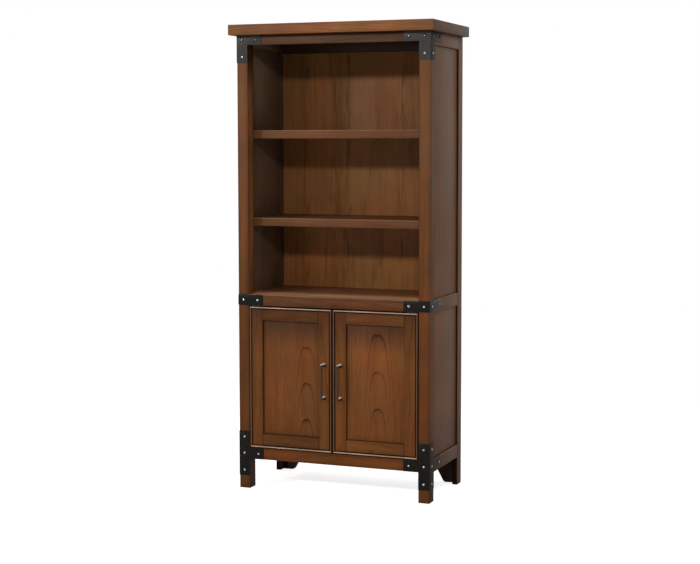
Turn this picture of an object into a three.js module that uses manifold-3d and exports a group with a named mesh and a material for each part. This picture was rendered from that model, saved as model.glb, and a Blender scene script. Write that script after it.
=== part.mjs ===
// A free-standing bookcase with open shelves above a two-door cabinet.
// Stained wood boards, black steel corner brackets with domed rivets, beaded inset doors on knife hinges.
// Millimetres, +Z up. X runs along the front, Y runs from the front to the back.
// The origin lies on the floor, under the middle of the top slab.
import * as THREE from "three";
import { mergeVertices } from "three/addons/utils/BufferGeometryUtils.js";
import Module from "manifold-3d";

const wasm = await Module();
wasm.setup();

// Driving dimensions of the whole case
const HEIGHT = 1981;
const CASE_WIDTH = 864;
const CASE_DEPTH = 432;

// Top slab
const SLAB_THICKNESS = 44;
const SLAB_SIDE_OVERHANG = 25;
const SLAB_FRONT_OVERHANG = 38;
const SLAB_BACK_OVERHANG = 12;
const SLAB_EDGE_ROUND = 3;

// Front posts and rear stiles, which run down to the floor as the four legs
const POST_WIDTH = 48;
const POST_DEPTH = 56;
const REAR_STILE_WIDTH = 56;
const SIDE_THICKNESS = 22;
const EASED_EDGE = 1.5;

// Framed and panelled sides
const SIDE_RAIL_HEIGHT = 55;
const SIDE_PANEL_THICKNESS = 15;
const PANEL_TONGUE = 8;
const DADO_DEPTH = 6;

// Front rails
const RAIL_THICKNESS = 22;
const RAIL_HEIGHT = 48;
const TOP_RAIL_HEIGHT = 40;
const TENON_LENGTH = 20;
const TENON_THICKNESS = 10;
const TENON_SHOULDER = 8;

// Heights of the cabinet and of the open bays above it
const LEG_HEIGHT = 129;
const CABINET_HEIGHT = 712;
const LOWER_BAY_HEIGHT = 290;
const MIDDLE_BAY_HEIGHT = 338;

// Shelves, deck and floor of the cabinet
const SHELF_THICKNESS = 35;
const SHELF_SETBACK = 1;
const SHELF_NOSE = 3;
const BOARD_THICKNESS = 19;
const CABINET_SHELF_RISE = 293;

// Back
const BACK_THICKNESS = 9;
const BACK_RABBET = 10;
const REAR_RAIL_THICKNESS = 22;
const FOOT_BRACKET_BASE = 50;
const FOOT_BRACKET_HEAD = 122;
const FOOT_BRACKET_ROUND = 9;

// Doors
const DOOR_SIDE_GAP = 3;
const DOOR_END_GAP = 4;
const MEETING_GAP = 5;
const DOOR_THICKNESS = 21;
const DOOR_FACE_SETBACK = 1;
const DOOR_FRAME_WIDTH = 59;
const BEAD_WIDTH = 7;
const BEAD_PROUD = 2;
const QUIRK_WIDTH = 4;
const QUIRK_DEPTH = 2.5;
const PANEL_RECESS = 9;
const PANEL_THICKNESS = 6;
const PANEL_GROOVE = 9;
const PANEL_ENTRY = 8;
const DOOR_TENON_THICKNESS = 7;
const DOOR_TENON_HEIGHT = 32;
const DOOR_TENON_INSET = 12;
const STOP_HEIGHT = 46;
const STOP_THICKNESS = 20;
const STOP_GAP = 0.5;
const STOP_FROM_PIVOT = 20;

// Knife hinges let into the ends of the hinge stiles and into the rails
const LEAF_LENGTH = 44;
const LEAF_WIDTH = 12;
const LEAF_THICKNESS = 3;
const LEAF_PLAY = 0.4;
const PIVOT_FROM_EDGE = 11;
const PIVOT_FROM_FRONT = 8;
const PIN_RADIUS = 2.5;
const PIN_REACH = 8;

// Door pulls
const PULL_FROM_MEETING_EDGE = 34;
const PULL_CENTRES = 140;
const PULL_STANDOFF = 32;
const PULL_BAR_RADIUS = 5;
const PULL_BAR_OVERRUN = 6;
const PULL_BASE_RADIUS = 8.5;
// Outline of a pull's post: shares of its base radius, and of its length from the door to the bar
const PULL_POST_SHARES = [
  [1, 0],
  [1, 0.05],
  [0.8, 0.09],
  [0.56, 0.2],
  [0.47, 0.45],
  [0.62, 0.7],
  [0.74, 0.82],
  [0.74, 0.95],
];

// Steel corner brackets, bent round the front corners and riveted
const STEEL = 2;
const BEND_RADIUS = 3;
const FRONT_ARM = 114;
const SIDE_ARM = 142;
const SIDE_PLATE = 54;
const TOP_PLATE_DROP = 114;
const STRAP_HEIGHT = 44;
const BOTTOM_PLATE_START = 55;
const BOTTOM_PLATE_HEIGHT = 193;
const RIVET_INSET = 24;
const RIVET_RADIUS = 5.5;
const RIVET_DOME = 3;
const RIVET_SHANK = 1;

// Fits and modelling steps
const FIT = 0.3;
const CUT_OVERRUN = 5;
const ARC_STEPS = 6;
const ROUND_SIDES = 16;
const RIVET_SIDES = 10;
const FINEST_STEP = 1 / 1024;

// Places worked out from the sizes above, measured from the front face of the case
const FRONT = 0;
const SIDE = CASE_WIDTH / 2;
const INNER_SIDE = SIDE - SIDE_THICKNESS;
const PANEL_FACE = INNER_SIDE + SIDE_PANEL_THICKNESS;
const POST_INNER = SIDE - POST_WIDTH;
const BACK = CASE_DEPTH;
const REAR_STILE_FRONT = BACK - REAR_STILE_WIDTH;
const BACK_PANEL_FRONT = BACK - BACK_THICKNESS;
const REAR_RAIL_FRONT = BACK_PANEL_FRONT - REAR_RAIL_THICKNESS;
const SHELF_FRONT = POST_DEPTH + SHELF_SETBACK;
const CASE_TOP = HEIGHT - SLAB_THICKNESS;
const BOTTOM_RAIL_TOP = LEG_HEIGHT + RAIL_HEIGHT;
const SIDE_BOTTOM = BOTTOM_RAIL_TOP - SIDE_RAIL_HEIGHT;
const DECK_TOP = LEG_HEIGHT + CABINET_HEIGHT;
const MIDDLE_RAIL_BOTTOM = DECK_TOP - RAIL_HEIGHT;
const DECK_BOTTOM = DECK_TOP - BOARD_THICKNESS;
const TOP_RAIL_BOTTOM = CASE_TOP - TOP_RAIL_HEIGHT;
const LOWER_SHELF = DECK_TOP + LOWER_BAY_HEIGHT;
const UPPER_SHELF = LOWER_SHELF + SHELF_THICKNESS + MIDDLE_BAY_HEIGHT;
const CABINET_SHELF = BOTTOM_RAIL_TOP + CABINET_SHELF_RISE;
const BACK_SEAM = (DECK_TOP + DECK_BOTTOM) / 2;
const DOOR = {
  outer: POST_INNER - DOOR_SIDE_GAP,
  meeting: MEETING_GAP / 2,
  low: BOTTOM_RAIL_TOP + DOOR_END_GAP,
  high: MIDDLE_RAIL_BOTTOM - DOOR_END_GAP,
  face: FRONT + DOOR_FACE_SETBACK,
  back: FRONT + DOOR_FACE_SETBACK + DOOR_THICKNESS,
};
const PIVOT = { x: DOOR.outer - PIVOT_FROM_EDGE, y: FRONT + PIVOT_FROM_FRONT };

// Finishes
const finish = (color, roughness, metalness) =>
  new THREE.MeshStandardMaterial({ color, roughness, metalness });
const FINISHES = {
  slab: finish(0x87583a, 0.42, 0),
  post: finish(0x784b2d, 0.45, 0),
  side: finish(0x6b4a35, 0.5, 0),
  shelf: finish(0x6a4229, 0.5, 0),
  back: finish(0x5f4126, 0.55, 0),
  door: finish(0x6b4124, 0.45, 0),
  steel: finish(0x2a2a28, 0.5, 0.7),
  bronze: finish(0x4a3d33, 0.4, 0.9),
  pewter: finish(0x9a8f84, 0.3, 1),
  brass: finish(0x9c8a62, 0.4, 1),
};

// Puts every vertex on a fine binary step, so that faces meant to touch are exactly alike.
function onStep(geometry) {
  const places = geometry.attributes.position.array;
  for (let i = 0; i < places.length; i++) {
    places[i] = Math.round(places[i] / FINEST_STEP) * FINEST_STEP;
  }
  return geometry;
}

// A closed geometry as a manifold-3d solid, and back.
function toSolid(geometry) {
  const bare = new THREE.BufferGeometry();
  bare.setAttribute("position", geometry.getAttribute("position"));
  bare.setIndex(geometry.getIndex());
  const merged = mergeVertices(bare, FINEST_STEP);
  return new wasm.Manifold(
    new wasm.Mesh({
      numProp: 3,
      vertProperties: merged.attributes.position.array,
      triVerts: new Uint32Array(merged.index.array),
    }),
  );
}

function toGeometry(solid) {
  const mesh = solid.getMesh();
  const places = new Float32Array(mesh.numVert * 3);
  for (let i = 0; i < mesh.numVert; i++) {
    places.set(mesh.vertProperties.subarray(i * mesh.numProp, i * mesh.numProp + 3), i * 3);
  }
  const geometry = new THREE.BufferGeometry();
  geometry.setAttribute("position", new THREE.BufferAttribute(places, 3));
  geometry.setIndex(new THREE.BufferAttribute(mesh.triVerts, 1));
  return onStep(geometry);
}

function fuse(...geometries) {
  return toGeometry(geometries.map(toSolid).reduce((all, one) => all.add(one)));
}

function cut(geometry, ...tools) {
  return toGeometry(tools.map(toSolid).reduce((all, one) => all.subtract(one), toSolid(geometry)));
}

function common(geometry, other) {
  return toGeometry(toSolid(geometry).intersect(toSolid(other)));
}

const sorted = (a, b) => (a < b ? [a, b] : [b, a]);

// A square-edged block between two places along each axis.
function block([x0, x1], [y0, y1], [z0, z1]) {
  const geometry = new THREE.BoxGeometry(1, 1, 1);
  const places = geometry.attributes.position;
  for (let i = 0; i < places.count; i++) {
    places.setXYZ(
      i,
      places.getX(i) < 0 ? x0 : x1,
      places.getY(i) < 0 ? y0 : y1,
      places.getZ(i) < 0 ? z0 : z1,
    );
  }
  return onStep(geometry);
}

// Where the two flat directions of an outline and its run lie, for a run along each axis.
const RUN_AXES = {
  x: [new THREE.Vector3(0, 1, 0), new THREE.Vector3(0, 0, 1), new THREE.Vector3(1, 0, 0)],
  y: [new THREE.Vector3(0, 0, 1), new THREE.Vector3(1, 0, 0), new THREE.Vector3(0, 1, 0)],
  z: [new THREE.Vector3(1, 0, 0), new THREE.Vector3(0, 1, 0), new THREE.Vector3(0, 0, 1)],
};

// Extrudes an outline from one place to another along an axis.
// The outline's points are (y, z) for a run along x, (z, x) along y and (x, y) along z.
function run(outline, axis, [from, to]) {
  const shape = outline instanceof THREE.Shape ? outline : new THREE.Shape(outline);
  const geometry = new THREE.ExtrudeGeometry(shape, {
    depth: 1,
    bevelEnabled: false,
    curveSegments: ARC_STEPS,
  });
  const places = geometry.attributes.position;
  for (let i = 0; i < places.count; i++) {
    places.setZ(i, places.getZ(i) === 0 ? from : to);
  }
  geometry.applyMatrix4(new THREE.Matrix4().makeBasis(...RUN_AXES[axis]));
  return onStep(geometry);
}

// A rectangle whose four corners are cut off by the given amounts, from the low-low corner round.
function easedRectangle([u0, u1], [v0, v1], [lowLow, highLow, highHigh, lowHigh]) {
  const corners = [
    [u0, v0, lowLow, 0, 1, 1, 0],
    [u1, v0, highLow, -1, 0, 0, 1],
    [u1, v1, highHigh, 0, -1, -1, 0],
    [u0, v1, lowHigh, 1, 0, 0, -1],
  ];
  return corners.flatMap(([u, v, ease, u1st, v1st, u2nd, v2nd]) =>
    ease === 0
      ? [new THREE.Vector2(u, v)]
      : [
          new THREE.Vector2(u + u1st * ease, v + v1st * ease),
          new THREE.Vector2(u + u2nd * ease, v + v2nd * ease),
        ],
  );
}

// A round bar, pin or bore along z.
function roundBar(x, y, radius, [z0, z1], sides) {
  const circle = Array.from({ length: sides }, (_, i) => {
    const angle = (2 * Math.PI * i) / sides;
    return new THREE.Vector2(x + radius * Math.cos(angle), y + radius * Math.sin(angle));
  });
  return run(circle, "z", [z0, z1]);
}

// The flat top, with its upper and lower edges slightly rounded.
function slab() {
  const half = SIDE + SLAB_SIDE_OVERHANG;
  const front = FRONT - SLAB_FRONT_OVERHANG;
  const back = BACK + SLAB_BACK_OVERHANG;
  const ease = SLAB_EDGE_ROUND;
  const outline = easedRectangle([-half, half], [front, back], [ease, ease, ease, ease]);
  const geometry = new THREE.ExtrudeGeometry(new THREE.Shape(outline), {
    depth: SLAB_THICKNESS - 2 * ease,
    bevelThickness: ease,
    bevelSize: ease,
    bevelOffset: -ease,
    bevelSegments: 2,
  });
  geometry.translate(0, 0, CASE_TOP + ease);
  return onStep(geometry);
}

// A front post, grooved behind for the side frame and mortised for the three front rails.
function frontPost() {
  const outline = easedRectangle(
    [POST_INNER, SIDE],
    [FRONT, POST_DEPTH],
    [EASED_EDGE, EASED_EDGE, 0, EASED_EDGE],
  );
  const groove = block(
    [INNER_SIDE, PANEL_FACE],
    [POST_DEPTH - PANEL_TONGUE - FIT, POST_DEPTH + CUT_OVERRUN],
    [SIDE_BOTTOM, CASE_TOP + CUT_OVERRUN],
  );
  const mortises = frontRailSpans().map((span) =>
    tenon(span, [POST_INNER - CUT_OVERRUN, POST_INNER + TENON_LENGTH + FIT], FIT),
  );
  return cut(run(outline, "z", [0, CASE_TOP]), groove, ...mortises);
}

// The three front rails' heights, from the top down.
function frontRailSpans() {
  return [
    [TOP_RAIL_BOTTOM, CASE_TOP],
    [MIDDLE_RAIL_BOTTOM, DECK_TOP],
    [LEG_HEIGHT, BOTTOM_RAIL_TOP],
  ];
}

// The tenon of a front rail, or with a clearance its mortise.
function tenon([low, high], along, clearance) {
  const middle = FRONT + RAIL_THICKNESS / 2;
  const half = TENON_THICKNESS / 2 + clearance;
  const shoulder = TENON_SHOULDER - clearance;
  return block(along, [middle - half, middle + half], [low + shoulder, high - shoulder]);
}

// A front rail between the posts, with its front edges eased and a tenon at each end.
function frontRail(span) {
  const outline = easedRectangle([FRONT, FRONT + RAIL_THICKNESS], span, [EASED_EDGE, 0, 0, 2 * EASED_EDGE]);
  const tenonEnd = POST_INNER + TENON_LENGTH;
  return fuse(run(outline, "x", [-POST_INNER, POST_INNER]), tenon(span, [-tenonEnd, tenonEnd], 0));
}

// A rear stile, rabbeted for the side frame's panels and for the back above the leg.
function rearStile() {
  const outline = easedRectangle(
    [INNER_SIDE, SIDE],
    [REAR_STILE_FRONT, BACK],
    [0, EASED_EDGE, EASED_EDGE, 0],
  );
  const panelRabbet = block(
    [INNER_SIDE - CUT_OVERRUN, PANEL_FACE],
    [REAR_STILE_FRONT - CUT_OVERRUN, REAR_STILE_FRONT + PANEL_TONGUE + FIT],
    [SIDE_BOTTOM, CASE_TOP + CUT_OVERRUN],
  );
  const backRabbet = block(
    [INNER_SIDE - CUT_OVERRUN, INNER_SIDE + BACK_RABBET],
    [BACK_PANEL_FRONT, BACK + CUT_OVERRUN],
    [LEG_HEIGHT, CASE_TOP + CUT_OVERRUN],
  );
  return cut(run(outline, "z", [0, CASE_TOP]), panelRabbet, backRabbet);
}

// A rail of a side frame: a lip on the outside that covers the panels' edges, and a body behind it
// whose ends are tongues in the post's groove and the stile's rabbet.
function sideRail([low, high], panelBelow, panelAbove) {
  const lipLow = panelBelow ? EASED_EDGE : 0;
  const lipHigh = panelAbove ? EASED_EDGE : 0;
  const lip = run(
    easedRectangle([low, high], [PANEL_FACE, SIDE], [0, 0, lipHigh, lipLow]),
    "y",
    [POST_DEPTH, REAR_STILE_FRONT],
  );
  const body = block(
    [INNER_SIDE, PANEL_FACE],
    [POST_DEPTH - PANEL_TONGUE, REAR_STILE_FRONT + PANEL_TONGUE],
    [low + (panelBelow ? PANEL_TONGUE : 0), high - (panelAbove ? PANEL_TONGUE : 0)],
  );
  return fuse(lip, body);
}

// A side panel between two rails, with a dado for each shelf that is housed in it.
function sidePanel([low, high], shelves) {
  const panel = block(
    [INNER_SIDE, PANEL_FACE],
    [POST_DEPTH - PANEL_TONGUE, REAR_STILE_FRONT + PANEL_TONGUE],
    [low, high],
  );
  const dados = shelves.map(([bottom, thickness]) =>
    block(
      [INNER_SIDE - CUT_OVERRUN, INNER_SIDE + DADO_DEPTH],
      [SHELF_FRONT, BACK],
      [bottom, bottom + thickness],
    ),
  );
  return cut(panel, ...dados);
}

// A shelf housed in the side panels' dados, with its nose eased.
function shelf(bottom, thickness) {
  const end = INNER_SIDE + DADO_DEPTH - FIT;
  const nosed = run(
    easedRectangle(
      [SHELF_FRONT, BACK_PANEL_FRONT],
      [bottom, bottom + thickness],
      [SHELF_NOSE / 2, 0, 0, SHELF_NOSE],
    ),
    "x",
    [-end, end],
  );
  const corners = [-1, 1].map((side) =>
    block(
      sorted(side * INNER_SIDE, side * (end + CUT_OVERRUN)),
      [REAR_STILE_FRONT + PANEL_TONGUE, BACK],
      [bottom - CUT_OVERRUN, bottom + thickness + CUT_OVERRUN],
    ),
  );
  return cut(nosed, ...corners);
}

// A fixed board behind the front rails, notched round the posts.
function notchedBoard(bottom, back) {
  const points = [
    [-POST_INNER, FRONT + RAIL_THICKNESS],
    [POST_INNER, FRONT + RAIL_THICKNESS],
    [POST_INNER, POST_DEPTH],
    [INNER_SIDE, POST_DEPTH],
    [INNER_SIDE, back],
    [-INNER_SIDE, back],
    [-INNER_SIDE, POST_DEPTH],
    [-POST_INNER, POST_DEPTH],
  ].map(([x, y]) => new THREE.Vector2(x, y));
  return run(points, "z", [bottom, bottom + BOARD_THICKNESS]);
}

// The strip under the deck that the closed doors rest against.
function doorStop() {
  const end = PIVOT.x - STOP_FROM_PIVOT;
  return block(
    [-end, end],
    [DOOR.back + STOP_GAP, DOOR.back + STOP_GAP + STOP_THICKNESS],
    [DECK_BOTTOM - STOP_HEIGHT, DECK_BOTTOM],
  );
}

// A sheet of the back, let into the rear stiles' rabbets.
function backPanel(span) {
  const edge = INNER_SIDE + BACK_RABBET - FIT;
  return block([-edge, edge], [BACK_PANEL_FRONT, BACK], span);
}

function rearRail(span) {
  return block([-INNER_SIDE, INNER_SIDE], [REAR_RAIL_FRONT, BACK_PANEL_FRONT], span);
}

// A bracket foot between a rear leg and the case's underside, its free edge slanting to a rounded toe.
function rearFootBracket() {
  const toe = INNER_SIDE - FOOT_BRACKET_BASE;
  const head = INNER_SIDE - FOOT_BRACKET_HEAD;
  const slope = (toe - head) / LEG_HEIGHT;
  const shape = new THREE.Shape();
  shape.moveTo(0, INNER_SIDE);
  shape.lineTo(0, toe + FOOT_BRACKET_ROUND);
  shape.quadraticCurveTo(0, toe, FOOT_BRACKET_ROUND, toe - slope * FOOT_BRACKET_ROUND);
  shape.lineTo(LEG_HEIGHT, head);
  shape.lineTo(LEG_HEIGHT, INNER_SIDE);
  return run(shape, "y", [BACK - SIDE_THICKNESS, BACK]);
}

// One steel angle bent round the post's front corner, with a leg along the front and one along the side.
function steelAngle(frontLeg, sideLeg, span) {
  const outer = { x: SIDE + STEEL, y: FRONT - STEEL };
  const shape = new THREE.Shape();
  shape.moveTo(SIDE - frontLeg, outer.y);
  shape.lineTo(outer.x - BEND_RADIUS, outer.y);
  shape.absarc(outer.x - BEND_RADIUS, outer.y + BEND_RADIUS, BEND_RADIUS, -Math.PI / 2, 0, false);
  shape.lineTo(outer.x, sideLeg);
  shape.lineTo(SIDE, sideLeg);
  shape.lineTo(SIDE, FRONT);
  shape.lineTo(SIDE - frontLeg, FRONT);
  return run(shape, "z", span);
}

// A domed rivet head whose shank ends inside the steel.
function rivet() {
  const points = [new THREE.Vector2(0, -RIVET_SHANK), new THREE.Vector2(RIVET_RADIUS, -RIVET_SHANK)];
  const steps = ARC_STEPS / 2;
  for (let i = 0; i < steps; i++) {
    const angle = (Math.PI / 2) * (i / steps);
    points.push(new THREE.Vector2(RIVET_RADIUS * Math.cos(angle), RIVET_DOME * Math.sin(angle)));
  }
  points.push(new THREE.Vector2(0, RIVET_DOME));
  return new THREE.LatheGeometry(points, RIVET_SIDES);
}

function frontRivet(x, z) {
  return rivet().rotateX(Math.PI).translate(x, FRONT - STEEL, z);
}

function sideRivet(y, z) {
  return rivet().rotateZ(-Math.PI / 2).translate(SIDE + STEEL, y, z);
}

// A bracket is an upright angle, an arm angle or both, riveted at each end of each leg.
function cornerBracket(upright, arm, uprightRivets) {
  const armMiddle = (arm[0] + arm[1]) / 2;
  const column = { front: SIDE - RIVET_INSET, side: FRONT + RIVET_INSET };
  const pieces = [steelAngle(FRONT_ARM, SIDE_ARM, arm)];
  if (upright) {
    pieces.push(steelAngle(POST_WIDTH, SIDE_PLATE, upright));
  }
  for (const z of [armMiddle, ...uprightRivets]) {
    pieces.push(frontRivet(column.front, z), sideRivet(column.side, z));
  }
  pieces.push(frontRivet(SIDE - FRONT_ARM + RIVET_INSET, armMiddle));
  pieces.push(sideRivet(SIDE_ARM - RIVET_INSET, armMiddle));
  return fuse(...pieces);
}

function topBracket() {
  const bottom = CASE_TOP - TOP_PLATE_DROP;
  return cornerBracket([bottom, CASE_TOP], [TOP_RAIL_BOTTOM, CASE_TOP], [bottom + RIVET_INSET]);
}

function middleStrap() {
  const margin = (RAIL_HEIGHT - STRAP_HEIGHT) / 2;
  return cornerBracket(null, [MIDDLE_RAIL_BOTTOM + margin, DECK_TOP - margin], []);
}

function bottomBracket() {
  const top = BOTTOM_PLATE_START + BOTTOM_PLATE_HEIGHT;
  return cornerBracket(
    [BOTTOM_PLATE_START, top],
    [LEG_HEIGHT, BOTTOM_RAIL_TOP],
    [BOTTOM_PLATE_START + RIVET_INSET, top - RIVET_INSET],
  );
}

// Cross-section of the doors' frame: (distance in from the door's edge, distance back from the front).
// From the edge inwards it is a proud half-round bead, a quirk, the flat face and the panel's groove.
function doorFrameSection() {
  const radius = BEAD_WIDTH / 2;
  const beadBase = FRONT - BEAD_PROUD + radius;
  const quirkFloor = DOOR.face + QUIRK_DEPTH;
  const inner = DOOR_FRAME_WIDTH;
  const grooveFront = DOOR.face + PANEL_RECESS;
  const points = [[0, DOOR.back]];
  for (let i = 0; i <= ARC_STEPS; i++) {
    const angle = Math.PI * (i / ARC_STEPS);
    points.push([radius - radius * Math.cos(angle), beadBase - radius * Math.sin(angle)]);
  }
  points.push(
    [BEAD_WIDTH, quirkFloor],
    [BEAD_WIDTH + QUIRK_WIDTH - EASED_EDGE, quirkFloor],
    [BEAD_WIDTH + QUIRK_WIDTH, DOOR.face],
    [inner - EASED_EDGE, DOOR.face],
    [inner, DOOR.face + EASED_EDGE],
    [inner, grooveFront],
    [inner - PANEL_GROOVE, grooveFront],
    [inner - PANEL_GROOVE, grooveFront + PANEL_THICKNESS],
    [inner, grooveFront + PANEL_THICKNESS],
    [inner, DOOR.back],
  );
  return points;
}

// Sweeps a section round a rectangle with mitred corners.
function mitredFrame(section, [x0, x1], [z0, z1]) {
  const corners = [
    [x0, z0, 1, 1],
    [x1, z0, -1, 1],
    [x1, z1, -1, -1],
    [x0, z1, 1, -1],
  ];
  const places = corners.flatMap(([x, z, alongX, alongZ]) =>
    section.flatMap(([inwards, back]) => [x + alongX * inwards, back, z + alongZ * inwards]),
  );
  const count = section.length;
  const faces = [];
  for (let corner = 0; corner < corners.length; corner++) {
    const next = (corner + 1) % corners.length;
    for (let i = 0; i < count; i++) {
      const j = (i + 1) % count;
      const [a, b, c, d] = [corner * count + i, corner * count + j, next * count + j, next * count + i];
      faces.push(a, c, b, a, d, c);
    }
  }
  const geometry = new THREE.BufferGeometry();
  geometry.setAttribute("position", new THREE.Float32BufferAttribute(places, 3));
  geometry.setIndex(faces);
  return onStep(geometry);
}

function doorFrame() {
  return mitredFrame(doorFrameSection(), [DOOR.meeting, DOOR.outer], [DOOR.low, DOOR.high]);
}

// The part of the door's frame between two places along x, over the given height.
function doorFramePiece(acrossX, acrossZ) {
  const depth = [FRONT - BEAD_PROUD - CUT_OVERRUN, DOOR.back + CUT_OVERRUN];
  return common(doorFrame(), block(acrossX, depth, acrossZ));
}

const STILE_EDGE = {
  hinge: DOOR.outer - DOOR_FRAME_WIDTH,
  meeting: DOOR.meeting + DOOR_FRAME_WIDTH,
};

// The tenons of the doors' rails, or with a clearance the stiles' mortises.
function doorTenon(end, along, clearance) {
  const front = DOOR.face + PANEL_RECESS;
  const depth = [front - clearance, front + DOOR_TENON_THICKNESS + clearance];
  const inset = DOOR_TENON_INSET - clearance;
  const reach = DOOR_TENON_INSET + DOOR_TENON_HEIGHT + clearance;
  const height =
    end === "low" ? [DOOR.low + inset, DOOR.low + reach] : [DOOR.high - reach, DOOR.high - inset];
  return block(along, depth, height);
}

function doorRail(end) {
  const height =
    end === "low"
      ? [DOOR.low - CUT_OVERRUN, DOOR.low + DOOR_FRAME_WIDTH]
      : [DOOR.high - DOOR_FRAME_WIDTH, DOOR.high + CUT_OVERRUN];
  const tenons = [STILE_EDGE.meeting - TENON_LENGTH, STILE_EDGE.hinge + TENON_LENGTH];
  return fuse(
    doorFramePiece([STILE_EDGE.meeting, STILE_EDGE.hinge], height),
    doorTenon(end, tenons, 0),
  );
}

function doorHeightWithOverrun() {
  return [DOOR.low - CUT_OVERRUN, DOOR.high + CUT_OVERRUN];
}

function meetingStile() {
  const stile = doorFramePiece([DOOR.meeting - CUT_OVERRUN, STILE_EDGE.meeting], doorHeightWithOverrun());
  const along = [STILE_EDGE.meeting - TENON_LENGTH - FIT, STILE_EDGE.meeting + CUT_OVERRUN];
  return cut(stile, doorTenon("low", along, FIT), doorTenon("high", along, FIT));
}

function hingeStile() {
  const stile = doorFramePiece([STILE_EDGE.hinge, DOOR.outer + CUT_OVERRUN], doorHeightWithOverrun());
  const along = [STILE_EDGE.hinge - CUT_OVERRUN, STILE_EDGE.hinge + TENON_LENGTH + FIT];
  const hinges = HINGE_ENDS.flatMap((end) => [
    hingeLeafSolid(sorted(end.doorEdge + end.up * CUT_OVERRUN, end.doorEdge - end.up * LEAF_SINK), FIT),
    pivotBore(sorted(end.doorEdge + end.up * CUT_OVERRUN, end.pinTip - end.up * FIT)),
  ]);
  return cut(stile, doorTenon("low", along, FIT), doorTenon("high", along, FIT), ...hinges);
}

function doorPanel() {
  const front = DOOR.face + PANEL_RECESS;
  return block(
    [STILE_EDGE.meeting - PANEL_ENTRY, STILE_EDGE.hinge + PANEL_ENTRY],
    [front, front + PANEL_THICKNESS],
    [DOOR.low + DOOR_FRAME_WIDTH - PANEL_ENTRY, DOOR.high - DOOR_FRAME_WIDTH + PANEL_ENTRY],
  );
}

// Each leaf is sunk far enough for two leaves and their play to fill the gap over the door.
const LEAF_SINK = (2 * LEAF_THICKNESS + LEAF_PLAY - DOOR_END_GAP) / 2;

// The two ends of a door where it turns: up points from the door to the rail that holds the hinge.
const HINGE_ENDS = [
  { name: "upper", up: 1, doorEdge: DOOR.high, railEdge: MIDDLE_RAIL_BOTTOM },
  { name: "lower", up: -1, doorEdge: DOOR.low, railEdge: BOTTOM_RAIL_TOP },
].map((end) => ({
  ...end,
  pinTip: end.railEdge + end.up * LEAF_SINK - end.up * (2 * LEAF_THICKNESS + LEAF_PLAY + PIN_REACH),
}));

// A knife hinge's leaf: a flat bar with a round end about the pivot.
function hingeLeafSolid(span, clearance) {
  const half = LEAF_WIDTH / 2 + clearance;
  const tail = PIVOT.x + LEAF_WIDTH / 2 - LEAF_LENGTH - clearance;
  const shape = new THREE.Shape();
  shape.moveTo(tail, PIVOT.y - half);
  shape.lineTo(PIVOT.x, PIVOT.y - half);
  shape.absarc(PIVOT.x, PIVOT.y, half, -Math.PI / 2, Math.PI / 2, false);
  shape.lineTo(tail, PIVOT.y + half);
  return run(shape, "z", span);
}

function pivotBore(span) {
  return roundBar(PIVOT.x, PIVOT.y, PIN_RADIUS + FIT, span, ROUND_SIDES);
}

// The leaf let into the rail carries the pin.
function caseLeaf(end) {
  const sunk = end.railEdge + end.up * LEAF_SINK;
  const leaf = hingeLeafSolid(sorted(sunk, sunk - end.up * LEAF_THICKNESS), 0);
  return fuse(leaf, roundBar(PIVOT.x, PIVOT.y, PIN_RADIUS, sorted(sunk, end.pinTip), ROUND_SIDES));
}

// The leaf let into the door's end turns on the pin.
function doorLeaf(end) {
  const sunk = end.doorEdge - end.up * LEAF_SINK;
  const span = sorted(sunk, sunk + end.up * LEAF_THICKNESS);
  return cut(
    hingeLeafSolid(span, 0),
    pivotBore([span[0] - CUT_OVERRUN, span[1] + CUT_OVERRUN]),
  );
}

// Cuts both doors' hinge mortises in a front rail.
function withHingeMortises(rail, end) {
  const span = sorted(end.railEdge - end.up * CUT_OVERRUN, end.railEdge + end.up * LEAF_SINK);
  const mortise = hingeLeafSolid(span, FIT);
  return cut(rail, mortise, mirrored(mortise));
}

// The same shape on the other side of the case.
function mirrored(geometry) {
  const copy = geometry.clone();
  copy.scale(-1, 1, 1);
  const index = copy.getIndex();
  const corners = index ? index.array : Array.from({ length: copy.attributes.position.count }, (_, i) => i);
  const turned = Array.from(corners);
  for (let i = 0; i < turned.length; i += 3) {
    [turned[i + 1], turned[i + 2]] = [turned[i + 2], turned[i + 1]];
  }
  copy.setIndex(turned);
  return copy;
}

const PULL = {
  x: DOOR.meeting + PULL_FROM_MEETING_EDGE,
  y: DOOR.face,
  z: (DOOR.low + DOOR.high) / 2,
};

// The pull's upright bar with domed ends, about its own middle.
function pullBar() {
  const half = PULL_CENTRES / 2 + PULL_BAR_OVERRUN;
  const dome = PULL_BAR_RADIUS / 2;
  const upper = Array.from({ length: ARC_STEPS }, (_, i) => {
    const angle = (Math.PI / 2) * (i / ARC_STEPS);
    return new THREE.Vector2(PULL_BAR_RADIUS * Math.cos(angle), half - dome + dome * Math.sin(angle));
  });
  upper.push(new THREE.Vector2(0, half));
  const lower = upper.map((point) => new THREE.Vector2(point.x, -point.y)).reverse();
  return onStep(new THREE.LatheGeometry([...lower, ...upper], ROUND_SIDES).rotateX(Math.PI / 2));
}

// One post of the pull: a round base on the door, a waisted neck and a head saddled to the bar.
function pullPost() {
  const outline = PULL_POST_SHARES.map(
    ([radius, along]) => new THREE.Vector2(radius * PULL_BASE_RADIUS, along * PULL_STANDOFF),
  );
  const first = new THREE.Vector2(0, outline[0].y);
  const last = new THREE.Vector2(0, outline.at(-1).y);
  const post = new THREE.LatheGeometry([first, ...outline, last], ROUND_SIDES).rotateX(Math.PI);
  const reach = PULL_BASE_RADIUS + CUT_OVERRUN;
  return cut(
    onStep(post),
    roundBar(0, -PULL_STANDOFF, PULL_BAR_RADIUS + FIT, [-reach, reach], ROUND_SIDES),
  );
}

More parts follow.
